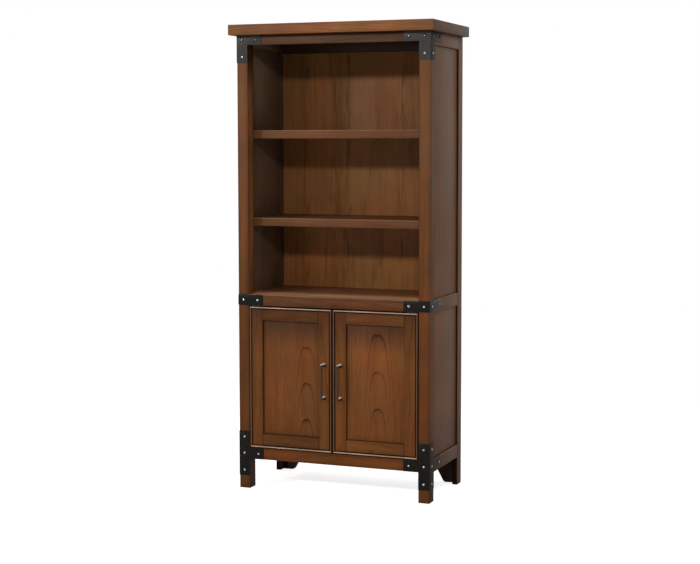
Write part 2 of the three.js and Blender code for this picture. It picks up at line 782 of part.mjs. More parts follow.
// Adds one named sub-part with its own material to a group.
function place(group, name, geometry, material, [x, y, z] = [0, 0, 0]) {
  const mesh = new THREE.Mesh(geometry, material.clone());
  mesh.name = name;
  mesh.position.set(x, y, z);
  group.add(mesh);
}

// Everything that spans the case from side to side.
function placeMiddle(group) {
  const [topSpan, middleSpan, bottomSpan] = frontRailSpans();
  const [upperEnd, lowerEnd] = HINGE_ENDS;
  place(group, "top_slab", slab(), FINISHES.slab);
  place(group, "front_top_rail", frontRail(topSpan), FINISHES.post);
  place(group, "front_middle_rail", withHingeMortises(frontRail(middleSpan), upperEnd), FINISHES.post);
  place(group, "front_bottom_rail", withHingeMortises(frontRail(bottomSpan), lowerEnd), FINISHES.post);
  place(group, "cabinet_deck", notchedBoard(DECK_BOTTOM, BACK_PANEL_FRONT), FINISHES.shelf);
  place(
    group,
    "cabinet_floor",
    notchedBoard(BOTTOM_RAIL_TOP - BOARD_THICKNESS, REAR_RAIL_FRONT),
    FINISHES.shelf,
  );
  place(group, "shelf_upper", shelf(UPPER_SHELF, SHELF_THICKNESS), FINISHES.shelf);
  place(group, "shelf_lower", shelf(LOWER_SHELF, SHELF_THICKNESS), FINISHES.shelf);
  place(group, "cabinet_shelf", shelf(CABINET_SHELF, BOARD_THICKNESS), FINISHES.shelf);
  place(group, "door_stop", doorStop(), FINISHES.shelf);
  place(group, "back_panel_upper", backPanel([BACK_SEAM, CASE_TOP]), FINISHES.back);
  place(group, "back_panel_lower", backPanel([LEG_HEIGHT, BACK_SEAM - FIT]), FINISHES.back);
  place(group, "rear_top_rail", rearRail([CASE_TOP - SIDE_RAIL_HEIGHT, CASE_TOP]), FINISHES.back);
  place(group, "rear_bottom_rail", rearRail([LEG_HEIGHT, BOTTOM_RAIL_TOP]), FINISHES.back);
}

// One side of the case, modelled as the right-hand one.
function placeSide(group, hand) {
  const sideTopRail = [CASE_TOP - SIDE_RAIL_HEIGHT, CASE_TOP];
  const sideMiddleRail = [DECK_TOP - SIDE_RAIL_HEIGHT, DECK_TOP];
  const sideBottomRail = [SIDE_BOTTOM, BOTTOM_RAIL_TOP];
  const upperPanel = [sideMiddleRail[1] - PANEL_TONGUE, sideTopRail[0] + PANEL_TONGUE];
  const lowerPanel = [sideBottomRail[1] - PANEL_TONGUE, sideMiddleRail[0] + PANEL_TONGUE];
  const openShelves = [UPPER_SHELF, LOWER_SHELF].map((bottom) => [bottom, SHELF_THICKNESS]);
  place(group, `front_post_${hand}`, frontPost(), FINISHES.post);
  place(group, `rear_stile_${hand}`, rearStile(), FINISHES.side);
  place(group, `side_top_rail_${hand}`, sideRail(sideTopRail, true, false), FINISHES.side);
  place(group, `side_middle_rail_${hand}`, sideRail(sideMiddleRail, true, true), FINISHES.side);
  place(group, `side_bottom_rail_${hand}`, sideRail(sideBottomRail, false, true), FINISHES.side);
  place(group, `side_panel_upper_${hand}`, sidePanel(upperPanel, openShelves), FINISHES.side);
  place(
    group,
    `side_panel_lower_${hand}`,
    sidePanel(lowerPanel, [[CABINET_SHELF, BOARD_THICKNESS]]),
    FINISHES.side,
  );
  place(group, `rear_foot_bracket_${hand}`, rearFootBracket(), FINISHES.back);
  place(group, `top_corner_bracket_${hand}`, topBracket(), FINISHES.steel);
  place(group, `middle_corner_strap_${hand}`, middleStrap(), FINISHES.steel);
  place(group, `bottom_corner_bracket_${hand}`, bottomBracket(), FINISHES.steel);
  for (const end of HINGE_ENDS) {
    place(group, `hinge_${end.name}_case_leaf_${hand}`, caseLeaf(end), FINISHES.brass);
  }
}

// One door with its hinge leaves and its pull, modelled as the right-hand one.
function placeDoor(group, hand) {
  place(group, `door_hinge_stile_${hand}`, hingeStile(), FINISHES.door);
  place(group, `door_meeting_stile_${hand}`, meetingStile(), FINISHES.door);
  place(group, `door_top_rail_${hand}`, doorRail("high"), FINISHES.door);
  place(group, `door_bottom_rail_${hand}`, doorRail("low"), FINISHES.door);
  place(group, `door_panel_${hand}`, doorPanel(), FINISHES.door);
  for (const end of HINGE_ENDS) {
    place(group, `hinge_${end.name}_door_leaf_${hand}`, doorLeaf(end), FINISHES.brass);
  }
  const pull = new THREE.Group();
  pull.name = `pull_${hand}`;
  pull.position.set(PULL.x, PULL.y, PULL.z);
  place(pull, `pull_bar_${hand}`, pullBar(), FINISHES.bronze, [0, -PULL_STANDOFF, 0]);
  place(pull, `pull_upper_post_${hand}`, pullPost(), FINISHES.pewter, [0, 0, PULL_CENTRES / 2]);
  place(pull, `pull_lower_post_${hand}`, pullPost(), FINISHES.pewter, [0, 0, -PULL_CENTRES / 2]);
  group.add(pull);
}

const bookcase = new THREE.Group();
bookcase.name = "bookcase";
bookcase.position.y = (SLAB_FRONT_OVERHANG - SLAB_BACK_OVERHANG - CASE_DEPTH) / 2;
placeMiddle(bookcase);

// The left side and door are mirror images of the right ones.
for (const [hand, mirror] of [
  ["left", -1],
  ["right", 1],
]) {
  const side = new THREE.Group();
  side.name = `${hand}_side`;
  side.scale.x = mirror;
  placeSide(side, hand);
  const door = new THREE.Group();
  door.name = `door_${hand}`;
  placeDoor(door, hand);
  side.add(door);
  bookcase.add(side);
}

export default bookcase;
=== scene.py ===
"""A stained-wood bookcase with open shelves above a two-door cabinet, dressed for rendering.

Everything is in metres, +Z up, with the doors facing -Y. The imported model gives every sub-part its
place; the classes below plane its boards, bend its corner brackets, turn its pulls and stain it all.
"""

from __future__ import annotations

import logging
import math
from dataclasses import dataclass, field, replace
from enum import Enum
from typing import Iterable, Sequence

import bmesh
import bpy
from bmesh.types import BMesh
from bpy.types import ID, Material, Mesh, MeshPolygon, Node, NodeSocket, NodeTree, Object
from mathutils import Euler, Matrix, Vector


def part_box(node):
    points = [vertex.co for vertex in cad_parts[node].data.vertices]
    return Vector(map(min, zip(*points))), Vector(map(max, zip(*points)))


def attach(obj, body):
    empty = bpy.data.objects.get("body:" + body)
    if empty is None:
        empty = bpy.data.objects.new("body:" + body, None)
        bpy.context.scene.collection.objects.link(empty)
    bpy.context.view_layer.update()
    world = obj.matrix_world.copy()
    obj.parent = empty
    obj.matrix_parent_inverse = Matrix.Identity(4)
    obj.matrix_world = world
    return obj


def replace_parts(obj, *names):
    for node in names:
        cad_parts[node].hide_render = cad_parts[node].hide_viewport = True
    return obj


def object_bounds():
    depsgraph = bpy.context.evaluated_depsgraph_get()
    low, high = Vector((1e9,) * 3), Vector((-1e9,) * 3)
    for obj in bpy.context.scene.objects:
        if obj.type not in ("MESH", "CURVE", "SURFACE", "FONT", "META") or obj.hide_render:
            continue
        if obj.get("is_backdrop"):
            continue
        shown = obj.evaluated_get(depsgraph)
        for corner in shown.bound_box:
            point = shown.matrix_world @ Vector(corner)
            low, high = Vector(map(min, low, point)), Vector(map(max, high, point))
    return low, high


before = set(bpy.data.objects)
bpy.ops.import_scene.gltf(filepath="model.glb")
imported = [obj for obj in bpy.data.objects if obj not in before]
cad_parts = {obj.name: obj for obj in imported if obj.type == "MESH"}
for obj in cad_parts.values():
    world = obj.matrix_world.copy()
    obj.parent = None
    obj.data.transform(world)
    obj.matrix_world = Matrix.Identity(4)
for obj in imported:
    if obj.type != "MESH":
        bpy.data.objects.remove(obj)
CAD_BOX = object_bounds()

log = logging.getLogger("bookcase")

MM = 0.001
# What a noise's values span: most of them, nearly all of them, and the middle ones.
NOISE = (0.3, 0.7)
WIDE_NOISE = (0.2, 0.8)
TIGHT_NOISE = (0.35, 0.65)
# A tone that changes nothing, and the ways that faces look.
PLAIN = (1.0, 1.0, 1.0)
UP = Vector((0.0, 0.0, 1.0))
FORWARD = Vector((0.0, -1.0, 0.0))
FRONT_EDGE = (FORWARD + UP).normalized()
# The least cosine at which a face counts as looking a way.
FACING = 0.9

Colour = tuple[float, float, float]
Place = tuple[float, float, float]
Span = tuple[float, float]
Marks = Sequence[tuple[int, float]]
Seat = tuple[Vector, Vector]


def srgb(red: int, green: int, blue: int) -> Colour:
    """Turns a screen's colour, each channel from 0 to 255, into linear light."""
    shares = (red / 255, green / 255, blue / 255)
    return tuple(share / 12.92 if share <= 0.04045 else ((share + 0.055) / 1.055) ** 2.4 for share in shares)


def darker(colour: Colour, share: float) -> Colour:
    """Gives a share of a colour's light."""
    return tuple(share * channel for channel in colour)


class Hand(Enum):
    """A side of the bookcase, as seen from the front."""

    LEFT = "left"
    RIGHT = "right"

    @property
    def sign(self) -> int:
        """Gives the side's direction along X."""
        return 1 if self is Hand.RIGHT else -1

    @property
    def outward(self) -> Vector:
        """Gives the way that the side's outer faces look."""
        return Vector((self.sign, 0.0, 0.0))


class Grain(Enum):
    """The row axis that a board's grain follows, with the turn that brings it onto X."""

    ACROSS = Euler((0.0, 0.0, 0.0))
    DEEP = Euler((0.0, 0.0, -math.pi / 2))
    UPRIGHT = Euler((0.0, math.pi / 2, 0.0))


class Wiring:
    """A node tree whose nodes are added and wired by short calls."""

    def __init__(self, tree: NodeTree, prefix: str = "ShaderNode") -> None:
        """Takes over a tree, whose old nodes go, with what its nodes' type names start with."""
        tree.nodes.clear()
        self.tree, self.prefix = tree, prefix

    def wire(self, value: object, socket: NodeSocket) -> None:
        """Gives an input another node's output, or a plain value.

        Args:
            value: The output or the value, where a colour may leave out its alpha.
            socket: The input.
        """
        if isinstance(value, NodeSocket):
            self.tree.links.new(value, socket)
        elif isinstance(value, tuple) and len(value) < len(socket.default_value):
            socket.default_value = (*value, 1.0)
        else:
            socket.default_value = value

    def add(self, kind: str, inputs: dict | None = None, **settings: object) -> Node:
        """Adds a node.

        Args:
            kind: The node's type name, in full or without the prefix.
            inputs: Values or output sockets, by input name or number.
            **settings: The node's own properties.

        Returns:
            The new node.
        """
        node = self.tree.nodes.new(kind if "Node" in kind else self.prefix + kind)
        for key, value in settings.items():
            setattr(node, key, value)
        for key, value in (inputs or {}).items():
            self.wire(value, node.inputs[key])
        return node

    def maths(self, operation: str, *values: object) -> NodeSocket:
        """Adds a Math node and gives its result."""
        return self.add("ShaderNodeMath", dict(enumerate(values)), operation=operation).outputs[0]

    def parts(self, vector: NodeSocket) -> bpy.types.bpy_prop_collection:
        """Gives a vector's X, Y and Z."""
        return self.add("ShaderNodeSeparateXYZ", {0: vector}).outputs

    def vector(self, *parts: object) -> NodeSocket:
        """Gives the vector that has these parts."""
        return self.add("ShaderNodeCombineXYZ", dict(enumerate(parts))).outputs[0]

    def spread(
        self, value: object, low: float, high: float, to_low: object, to_high: object, **settings: str
    ) -> NodeSocket:
        """Maps one range onto another and holds the result inside it."""
        inputs = {0: value, 1: low, 2: high, 3: to_low, 4: to_high}
        return self.add("ShaderNodeMapRange", inputs, clamp=True, **settings).outputs[0]

    def between(self, factor: object, first: object, second: object) -> NodeSocket:
        """Goes from one value to another as a factor goes from 0 to 1."""
        return self.spread(factor, 0.0, 1.0, first, second)


class Graph(Wiring):
    """The nodes of one material, laid out in the piece's own space."""

    def __init__(self, name: str) -> None:
        """Starts an empty material.

        Args:
            name: The material's name.
        """
        self.material = bpy.data.materials.new(name)
        self.material.use_nodes = True
        super().__init__(self.material.node_tree)
        self.texture = self.add("TexCoord").outputs
        self.held = self.texture["Object"]

    def noise(self, place: NodeSocket, scale: float | Place, detail: float) -> NodeSocket:
        """Adds a noise texture.

        Args:
            place: Where the noise is read.
            scale: How fine it is, or how fine it is along each axis.
            detail: How many finer layers it has.

        Returns:
            The noise, which stays near 0.5.
        """
        if isinstance(scale, tuple):
            place, scale = self.add("Mapping", {"Vector": place, "Scale": scale}).outputs[0], 1.0
        return self.add("TexNoise", {"Vector": place, "Scale": scale, "Detail": detail}).outputs["Fac"]

    def gap(self, place: NodeSocket, other: object) -> NodeSocket:
        """Gives how far two places lie apart."""
        return self.maths("ABSOLUTE", self.maths("SUBTRACT", place, other))

    def ramp(self, value: object, stops: Sequence[tuple[float, Colour]], stepped: bool = False) -> NodeSocket:
        """Adds a colour ramp.

        Args:
            value: The socket that drives it.
            stops: Places and linear colours, in order.
            stepped: Whether each colour holds until the next stop.

        Returns:
            The ramp's colour.
        """
        node = self.add("ValToRGB", {"Fac": value})
        band = node.color_ramp
        band.interpolation = "CONSTANT" if stepped else "LINEAR"
        while len(band.elements) > 1:
            band.elements.remove(band.elements[-1])
        band.elements[0].position = stops[0][0]
        band.elements[0].color = (*stops[0][1], 1.0)
        for place, colour in stops[1:]:
            band.elements.new(place).color = (*colour, 1.0)
        return node.outputs["Color"]

    def grey(self, value: object) -> NodeSocket:
        """Gives a grey of one level."""
        return self.add("CombineColor", {0: value, 1: value, 2: value}).outputs[0]

    def mix(self, factor: object, first: object, second: object, kind: str = "MIX") -> NodeSocket:
        """Goes from one colour to another, or to their product, as a factor goes from 0 to 1."""
        return self.add("Mix", {0: factor, 6: first, 7: second}, data_type="RGBA", blend_type=kind).outputs[2]

    def tint(self, colour: object, by: object) -> NodeSocket:
        """Multiplies one colour by another."""
        return self.mix(1.0, colour, by, "MULTIPLY")

    def finish(self, inputs: dict) -> Material:
        """Closes the graph with a Principled shader.

        Args:
            inputs: The shader's values or sockets.

        Returns:
            The finished material.
        """
        shader = self.add("BsdfPrincipled", inputs)
        self.add("OutputMaterial", {"Surface": shader.outputs["BSDF"]})
        return self.material


@dataclass(frozen=True)
class Stain:
    """A brown stain under satin lacquer, over the growth rings and fibres of one log.

    A board's pick, a whole number, says which stretch of the log it comes from.
    """

    # The colours, a material slot's name, and the lacquer with its satin and its fibres' relief
    name: str
    deep: Colour
    body: Colour
    light: Colour
    slot: str = ""
    roughness: float = 0.46
    gloss: float = 0.12
    satin: Span = (-0.06, 0.08)
    relief: float = 0.2
    relief_depth: float = 0.3 * MM
    # The log, its rings and how they wander
    ring_gap: float = 9 * MM
    ring_strength: float = 0.16
    ring_chance: Span = (0.45, 0.85)
    late_span: Span = (0.45, 0.92)
    late_power: float = 2.0
    log_tilt: float = math.radians(1.2)
    log_step: float = 0.83
    pith_depth: float = 190 * MM
    pith_aside: float = 60 * MM
    pith_turn: float = 1.9
    squareness: float = 2.0
    wobble: float = 1.1
    wobble_scale: Place = (1.6, 9.0, 9.0)
    waver: float = 0.5
    waver_scale: Place = (7.0, 45.0, 45.0)
    # Streaks and fibres along the grain
    streak: float = 0.225
    streak_tone: float = 0.525
    streak_scale: Place = (1.2, 38.0, 38.0)
    fibre: float = 0.7
    fibre_scale: Place = (11.0, 420.0, 420.0)
    # Painted shade: ambient occlusion darkens edges and corners, and dark lines run along joints and where
    # shadows fall
    occlusion_shade: float = 0.5
    occlusion_reach: float = 8 * MM
    occlusion_span: Span = (0.45, 0.95)
    painted_shade_tone: float = 0.22
    mark: float = 0.85
    mark_core: float = 0.3
    mark_width: float = 2.6 * MM
    # Clouds, and what sets one board off from its fellows
    mottle: float = 0.135
    cloud_scale: float = 5.0
    cloud_shift: Place = (1.7, 0.4, 2.9)
    fellow_spread: float = 0.04
    fellow_turn: float = 2.4
    redder: Colour = (1.07, 0.94, 0.92)
    yellower: Colour = (0.96, 1.04, 1.0)
    # Rubbed lighter along the middle of each face and darker along its edges, partly painted shade, and a
    # tone along an axis that paints light and shade
    rub_and_shade: float = 0.1
    rub_start: float = 0.3
    rub_light: float = 0.6
    edge_shade: float = 1.4
    rub_shade_reach: float = 50 * MM
    low_tone: Colour = PLAIN
    high_tone: Colour = PLAIN
    tone_axis: int = 2
    low_span: Span = (0.35, 0.95)

    def coordinates(
        self, graph: Graph, board: Object, grain: Grain, pick: int, aside: float | None
    ) -> NodeSocket:
        """Gives places in the log that the board was sawn from, with X along its pith.

        The pith lies behind the board's broad face and tilts away from it, so that rings meet it in arches.

        Args:
            graph: The material's graph.
            board: The board, whose middle is set at its place in the log.
            grain: The axis that its grain follows.
            pick: Which stretch of the log it comes from.
            aside: How far the arches stand from the board's middle, or None for a place of its own.

        Returns:
            The places, in metres.
        """
        upright = grain.value.to_matrix()
        corners = [upright @ Vector(corner) for corner in board.bound_box]
        spans = [max(c[axis] for c in corners) - min(c[axis] for c in corners) for axis in range(3)]
        middle = sum(corners, Vector()) / len(corners)
        if aside is None:
            aside = self.pith_aside * math.sin(self.pith_turn * pick)
        if spans[1] <= spans[2]:
            tilt = Euler((0.0, 0.0, self.log_tilt)).to_matrix()
            place = Vector((self.log_step * pick, self.pith_depth, aside))
        else:
            tilt = Euler((0.0, -self.log_tilt, 0.0)).to_matrix()
            place = Vector((self.log_step * pick, aside, self.pith_depth))
        turn, shift = (tilt @ upright).to_euler(), place - tilt @ middle
        return graph.add("Mapping", {"Vector": graph.held, "Rotation": turn, "Location": shift}).outputs[0]

    def rings(self, graph: Graph, place: NodeSocket) -> NodeSocket:
        """Gives the dark late wood at the end of each ring.

        Args:
            graph: The material's graph.
            place: Places in the log.

        Returns:
            How much late wood there is, from 0 to 1.
        """
        drift = graph.noise(place, self.wobble_scale, 2.0)
        waver = graph.noise(place, self.waver_scale, 2.0)
        parts = graph.parts(place)
        reaches = [graph.maths("ABSOLUTE", parts[axis]) for axis in "YZ"]
        powers = [graph.maths("POWER", reach, self.squareness) for reach in reaches]
        radius = graph.maths("POWER", graph.maths("ADD", *powers), 1 / self.squareness)
        age = graph.maths("DIVIDE", radius, self.ring_gap)
        age = graph.maths("ADD", age, graph.maths("MULTIPLY", drift, 4 * self.wobble))
        age = graph.maths("ADD", age, graph.maths("MULTIPLY", waver, self.waver))
        year = graph.maths("FLOOR", age)
        share = graph.maths("SUBTRACT", age, year)
        rise = graph.spread(share, *self.late_span, 0.0, 1.0)
        fall = graph.spread(share, self.late_span[1], 1.0, 1.0, 0.0)
        chance = graph.add("TexWhiteNoise", {"W": year}, noise_dimensions="1D").outputs["Value"]
        late = graph.maths("POWER", graph.maths("MULTIPLY", rise, fall), self.late_power)
        return graph.maths("MULTIPLY", late, graph.between(chance, *self.ring_chance))

    def figure(self, graph: Graph, place: NodeSocket) -> tuple[NodeSocket, NodeSocket]:
        """Makes the grain's figure from rings, streaks and fibres.

        Args:
            graph: The material's graph.
            place: Places in the log.

        Returns:
            The figure's lightness, from 0 to 1, and the fibres' height.
        """
        streaks = graph.noise(place, self.streak_scale, 3.0)
        fibres = graph.noise(place, self.fibre_scale, 3.0)
        low, high = self.streak_tone - self.streak, self.streak_tone + self.streak
        lightness = graph.spread(streaks, *WIDE_NOISE, low, high)
        late = graph.maths("MULTIPLY", self.rings(graph, place), 2 * self.ring_strength)
        fine = graph.maths("MULTIPLY", graph.maths("SUBTRACT", fibres, 0.5), self.fibre)
        return graph.maths("ADD", graph.maths("SUBTRACT", lightness, late), fine), fibres

    def material(
        self,
        board: Object,
        grain: Grain,
        pick: int,
        level: float = 1.0,
        aside: float | None = None,
        marks: Marks = (),
    ) -> Material:
        """Makes the finish for one board.

        Args:
            board: The board that it goes on.
            grain: The axis that its grain follows.
            pick: Which stretch of the log the board comes from.
            level: How light the board is against its fellows.
            aside: How far the arches stand from the board's middle, or None for a place of its own.
            marks: Axes and places of dark lines, partly joints and partly painted shadow.

        Returns:
            The material.
        """
        graph = Graph(f"{self.name}_{board.name}")
        place = self.coordinates(graph, board, grain, pick, aside)
        lightness, fibres = self.figure(graph, place)
        colour = graph.ramp(lightness, [(0.0, self.deep), (0.5, self.body), (1.0, self.light)])
        colour = self.tone(graph, colour, pick, level)
        colour = graph.tint(colour, graph.grey(self.rubbed_and_shaded(graph, board)))
        # Painted shade: ambient occlusion darkens corners, and the marks add dark lines, partly joints and
        # partly painted shadow
        edge = graph.add("AmbientOcclusion", {"Distance": self.occlusion_reach}, samples=4, only_local=True)
        painted_light = graph.spread(edge.outputs["AO"], *self.occlusion_span, self.occlusion_shade, 0.0)
        held = graph.parts(graph.held)
        for axis, joint in marks:
            gap = graph.gap(held[axis], joint)
            line = graph.spread(gap, self.mark_core * self.mark_width, self.mark_width, self.mark, 0.0)
            painted_light = graph.maths("MAXIMUM", painted_light, line)
        bump = graph.add("Bump", {"Height": fibres, "Strength": self.relief, "Distance": self.relief_depth})
        satin = [self.roughness + share for share in self.satin]
        shader = {"Specular IOR Level": self.gloss, "Normal": bump.outputs["Normal"]}
        shader["Base Color"] = graph.mix(painted_light, colour, darker(self.deep, self.painted_shade_tone))
        shader["Roughness"] = graph.spread(fibres, *NOISE, *satin)
        return graph.finish(shader)

    def rubbed_and_shaded(self, graph: Graph, board: Object) -> NodeSocket:
        """Gives how light the stain is: rubbed lighter along the middle of each face, and darker along its
        edges, partly as painted shade.

        Args:
            graph: The material's graph.
            board: The board.

        Returns:
            The light, about 1.
        """
        held, facing = graph.parts(graph.held), graph.parts(graph.texture["Normal"])
        off = 0.0
        for axis in range(3):
            places = [corner[axis] for corner in board.bound_box]
            middle, half = (min(places) + max(places)) / 2, (max(places) - min(places)) / 2
            start = max(half - self.rub_shade_reach, 0.0)
            away = graph.spread(graph.gap(held[axis], middle), start, half, 0.0, 1.0)
            across = graph.maths("SUBTRACT", 1.0, graph.maths("ABSOLUTE", facing[axis]))
            off = graph.maths("MAXIMUM", off, graph.maths("MULTIPLY", away, across))
        light, dark = 1 + self.rub_light * self.rub_and_shade, 1 - self.edge_shade * self.rub_and_shade
        return graph.spread(off, self.rub_start, 1.0, light, dark)

    def tone(self, graph: Graph, colour: NodeSocket, pick: int, level: float) -> NodeSocket:
        """Clouds the stain a little over the board, between a redder and a yellower brown, and paints light
        and shade along an axis.

        Args:
            graph: The material's graph.
            colour: The grain's colour.
            pick: Which stretch of the log the board comes from.
            level: How light the board is against its fellows.

        Returns:
            The clouded colour.
        """
        shift = (self.cloud_shift[0] * pick, *self.cloud_shift[1:])
        place = graph.add("Mapping", {"Vector": graph.held, "Location": shift}).outputs[0]
        cloud = graph.add("TexNoise", {"Vector": place, "Scale": self.cloud_scale, "Detail": 2.0}).outputs
        level *= 1.0 + self.fellow_spread * math.sin(self.fellow_turn * pick)
        shade = graph.spread(cloud["Fac"], *NOISE, (1 - self.mottle) * level, (1 + self.mottle) * level)
        # The tone along an axis is painted light and shade: darker towards the floor, under the slab and at
        # the doors' top, lighter on the lower back and along the deck's front
        reach = graph.parts(graph.held)[self.tone_axis]
        slope = graph.mix(graph.spread(reach, *self.low_span, 1.0, 0.0), self.high_tone, self.low_tone)
        other = graph.add("SeparateColor", {0: cloud["Color"]}).outputs[1]
        hue = graph.mix(graph.spread(other, *TIGHT_NOISE, 0.0, 1.0), self.redder, self.yellower)
        return graph.tint(graph.tint(graph.tint(colour, graph.grey(shade)), slope), hue)


@dataclass(frozen=True)
class Veneer(Stain):
    """A stained veneer sheet, laid up from upright leaves whose tones differ."""

    seams: tuple[Span, ...] = ()
    waviness: float = 40 * MM
    wave_scale: float = 7.0
    fleck_scale: Place = (70.0, 70.0, 9.0)
    fleck_span: Span = (0.5, 0.66)
    seam: float = 0.4
    seam_span: Span = (0.8 * MM, 2.4 * MM)
    smudge: float = 0.5
    smudge_span: Span = (3 * MM, 26 * MM)
    seam_tone: float = 0.5

    def tone(self, graph: Graph, colour: NodeSocket, pick: int, level: float) -> NodeSocket:
        """Gives each leaf its own tone, with a fine dark line where two leaves meet.

        Args:
            graph: The material's graph.
            colour: The grain's colour.
            pick: Which stretch of the log the sheet comes from.
            level: How light the sheet is against its fellows.

        Returns:
            The toned colour.
        """
        parts = graph.parts(graph.held)
        waves = {"W": parts["Z"], "Scale": self.wave_scale, "Detail": 3.0}
        sway = graph.add("TexNoise", waves, noise_dimensions="1D").outputs["Fac"]
        sway = graph.maths("MULTIPLY", graph.maths("SUBTRACT", sway, 0.5), self.waviness)
        across = graph.maths("ADD", parts["X"], sway)
        fleck = graph.spread(graph.noise(graph.held, self.fleck_scale, 3.0), *self.fleck_span, 0.0, 1.0)
        stops = [(place + 0.5, (tone,) * 3) for place, tone in self.seams]
        leaves = graph.ramp(graph.spread(across, -0.5, 0.5, 0.0, 1.0), stops, stepped=True)
        line = 0.0
        for place, _ in self.seams[1:]:
            gap = graph.gap(across, place)
            near = graph.maths("MULTIPLY", graph.spread(gap, *self.smudge_span, self.smudge, 0.0), fleck)
            line = graph.maths("MAXIMUM", line, graph.spread(gap, *self.seam_span, self.seam, 0.0))
            line = graph.maths("MAXIMUM", line, near)
        toned = graph.tint(super().tone(graph, colour, pick, level), leaves)
        return graph.mix(line, toned, darker(self.deep, self.seam_tone))


@dataclass(frozen=True)
class Metal:
    """A metal or painted finish with cloudy wear, and painted shade on what faces down."""

    name: str
    dark: Colour
    pale: Colour
    metallic: float
    roughness: float
    cloud_size: float = 12 * MM
    specks_per_cloud: float = 9.0
    speck_share: float = 0.3
    wear: float = 0.5
    gloss: float = 0.5
    unevenness: float = 0.06
    relief: float = 0.15
    relief_depth: float = 0.15 * MM
    underside_shade: float = 0.0
    underside_span: Span = (0.12, 0.4)
    underside_tone: float = 0.04

    def material(self) -> Material:
        """Makes the finish, mottled from dark to pale.

        Returns:
            The material.
        """
        graph = Graph(self.name)
        cloud = graph.noise(graph.held, 1 / self.cloud_size, 4.0)
        speck = graph.noise(graph.held, self.specks_per_cloud / self.cloud_size, 2.0)
        shares = zip((cloud, speck), (1 - self.speck_share, self.speck_share))
        mottle = graph.maths("ADD", *(graph.maths("MULTIPLY", noise, share) for noise, share in shares))
        colour = graph.mix(graph.spread(mottle, *TIGHT_NOISE, 0.0, self.wear), self.dark, self.pale)
        metallic = self.metallic
        # Painted shade: faces that look down turn dark and fully metallic, so they reflect dark
        if self.underside_shade:
            up = graph.parts(graph.add("NewGeometry").outputs["Normal"])["Z"]
            under = graph.spread(up, *self.underside_span, self.underside_shade, 0.0)
            colour = graph.mix(under, colour, darker(self.dark, self.underside_tone))
            metallic = graph.maths("MAXIMUM", under, metallic)
        bump = graph.add("Bump", {"Height": speck, "Strength": self.relief, "Distance": self.relief_depth})
        smooth, rough = self.roughness - self.unevenness, self.roughness + self.unevenness
        shader = {"Base Color": colour, "Metallic": metallic, "Specular IOR Level": self.gloss}
        shader["Roughness"] = graph.spread(mottle, *NOISE, smooth, rough)
        return graph.finish({**shader, "Normal": bump.outputs["Normal"]})


@dataclass(frozen=True)
class RivetMetal:
    """A rivet head worn bright on its crown and black at its rim, partly painted shade on the dome's edge."""

    name: str
    rim: Colour
    crown: Colour
    crown_reach: float = 0.7
    fade: float = 0.2
    scratch: float = 0.08
    scratch_scale: float = 900.0
    worn_span: Span = (0.6, 0.9)
    roughness: Span = (0.3, 0.5)

    def material(self) -> Material:
        """Makes the finish from the head's own rim attribute, 0 at the crown and 1 at the rim.

        Returns:
            The material.
        """
        graph = Graph(self.name)
        rim = graph.add("Attribute", attribute_name="rim").outputs["Fac"]
        scratch = graph.noise(graph.held, self.scratch_scale, 2.0)
        scratch = graph.spread(scratch, *NOISE, -self.scratch, self.scratch)
        reach = graph.maths("ADD", rim, scratch)
        stops = [(0.0, self.crown), (self.crown_reach, self.crown), (self.crown_reach + self.fade, self.rim)]
        roughness = graph.spread(reach, *self.worn_span, *self.roughness)
        return graph.finish({"Base Color": graph.ramp(reach, stops), "Metallic": 1.0, "Roughness": roughness})


SLAB_STAIN = Stain(
    "slab_stain", srgb(96, 57, 32), srgb(125, 79, 46), srgb(148, 102, 63),
    slot="top_wood", ring_strength=0.24, mottle=0.2, rub_and_shade=0.05,
)
SLAB_END_STAIN = Stain("slab_end_stain", srgb(62, 42, 24), srgb(82, 58, 34), srgb(96, 70, 44))
# Painted shade: the frame turns darker and more orange from 0.95 m down to 0.35 m
FRAME_STAIN = Stain(
    "frame_stain", srgb(78, 44, 22), srgb(103, 64, 36), srgb(120, 78, 46),
    slot="frame_wood", ring_strength=0.22, low_tone=(0.84, 0.68, 0.36), mark_width=3.4 * MM, rub_and_shade=0.16,
)
# Painted shade: the posts darken from 1.85 m down to 0.75 m
POST_STAIN = replace(
    FRAME_STAIN,
    name="post_stain", low_tone=(0.74, 0.65, 0.42), low_span=(0.75, 1.85), mark_width=2.6 * MM, mottle=0.16,
)
# Painted shade on the posts' inner faces: nearly black below 0.8 m, and a broad dark band about the top
# rail's lower edge
POST_INSIDE_SHADE = replace(POST_STAIN, low_tone=(0.25, 0.2, 0.15), low_span=(0.8, 0.84), mark_width=200 * MM)
# Painted shade: the sides darken from 0.36 m down to 0.1 m
SIDE_STAIN = Stain(
    "side_stain", srgb(80, 51, 30), srgb(100, 67, 41), srgb(113, 78, 50),
    slot="side_wood", low_tone=(0.55, 0.46, 0.38), low_span=(0.1, 0.36),
)
# Painted shade: a darker copy of the side stain for the posts' outward faces
CORNER_SHADE_STAIN = replace(
    SIDE_STAIN, name="corner_painted_shade", body=srgb(95, 61, 32), light=srgb(108, 72, 40), gloss=0.04
)
# A paler, greyer copy of the side stain for the inner faces, toned for the shade inside the case; its darker
# edges are painted shade
INSIDE_STAIN = Stain(
    "inside_stain", srgb(86, 66, 48), srgb(107, 85, 65), srgb(121, 97, 75), rub_and_shade=0.15, rub_shade_reach=150 * MM
)
# Painted highlight: a pale stain on arrises and faces that look up and forwards
ARRIS_HIGHLIGHT = Stain("arris_painted_highlight", srgb(112, 78, 56), srgb(140, 102, 76), srgb(154, 116, 90))
SHELF_STAIN = Stain("shelf_stain", srgb(76, 45, 26), srgb(101, 65, 40), srgb(118, 79, 51), slot="shelf_wood")
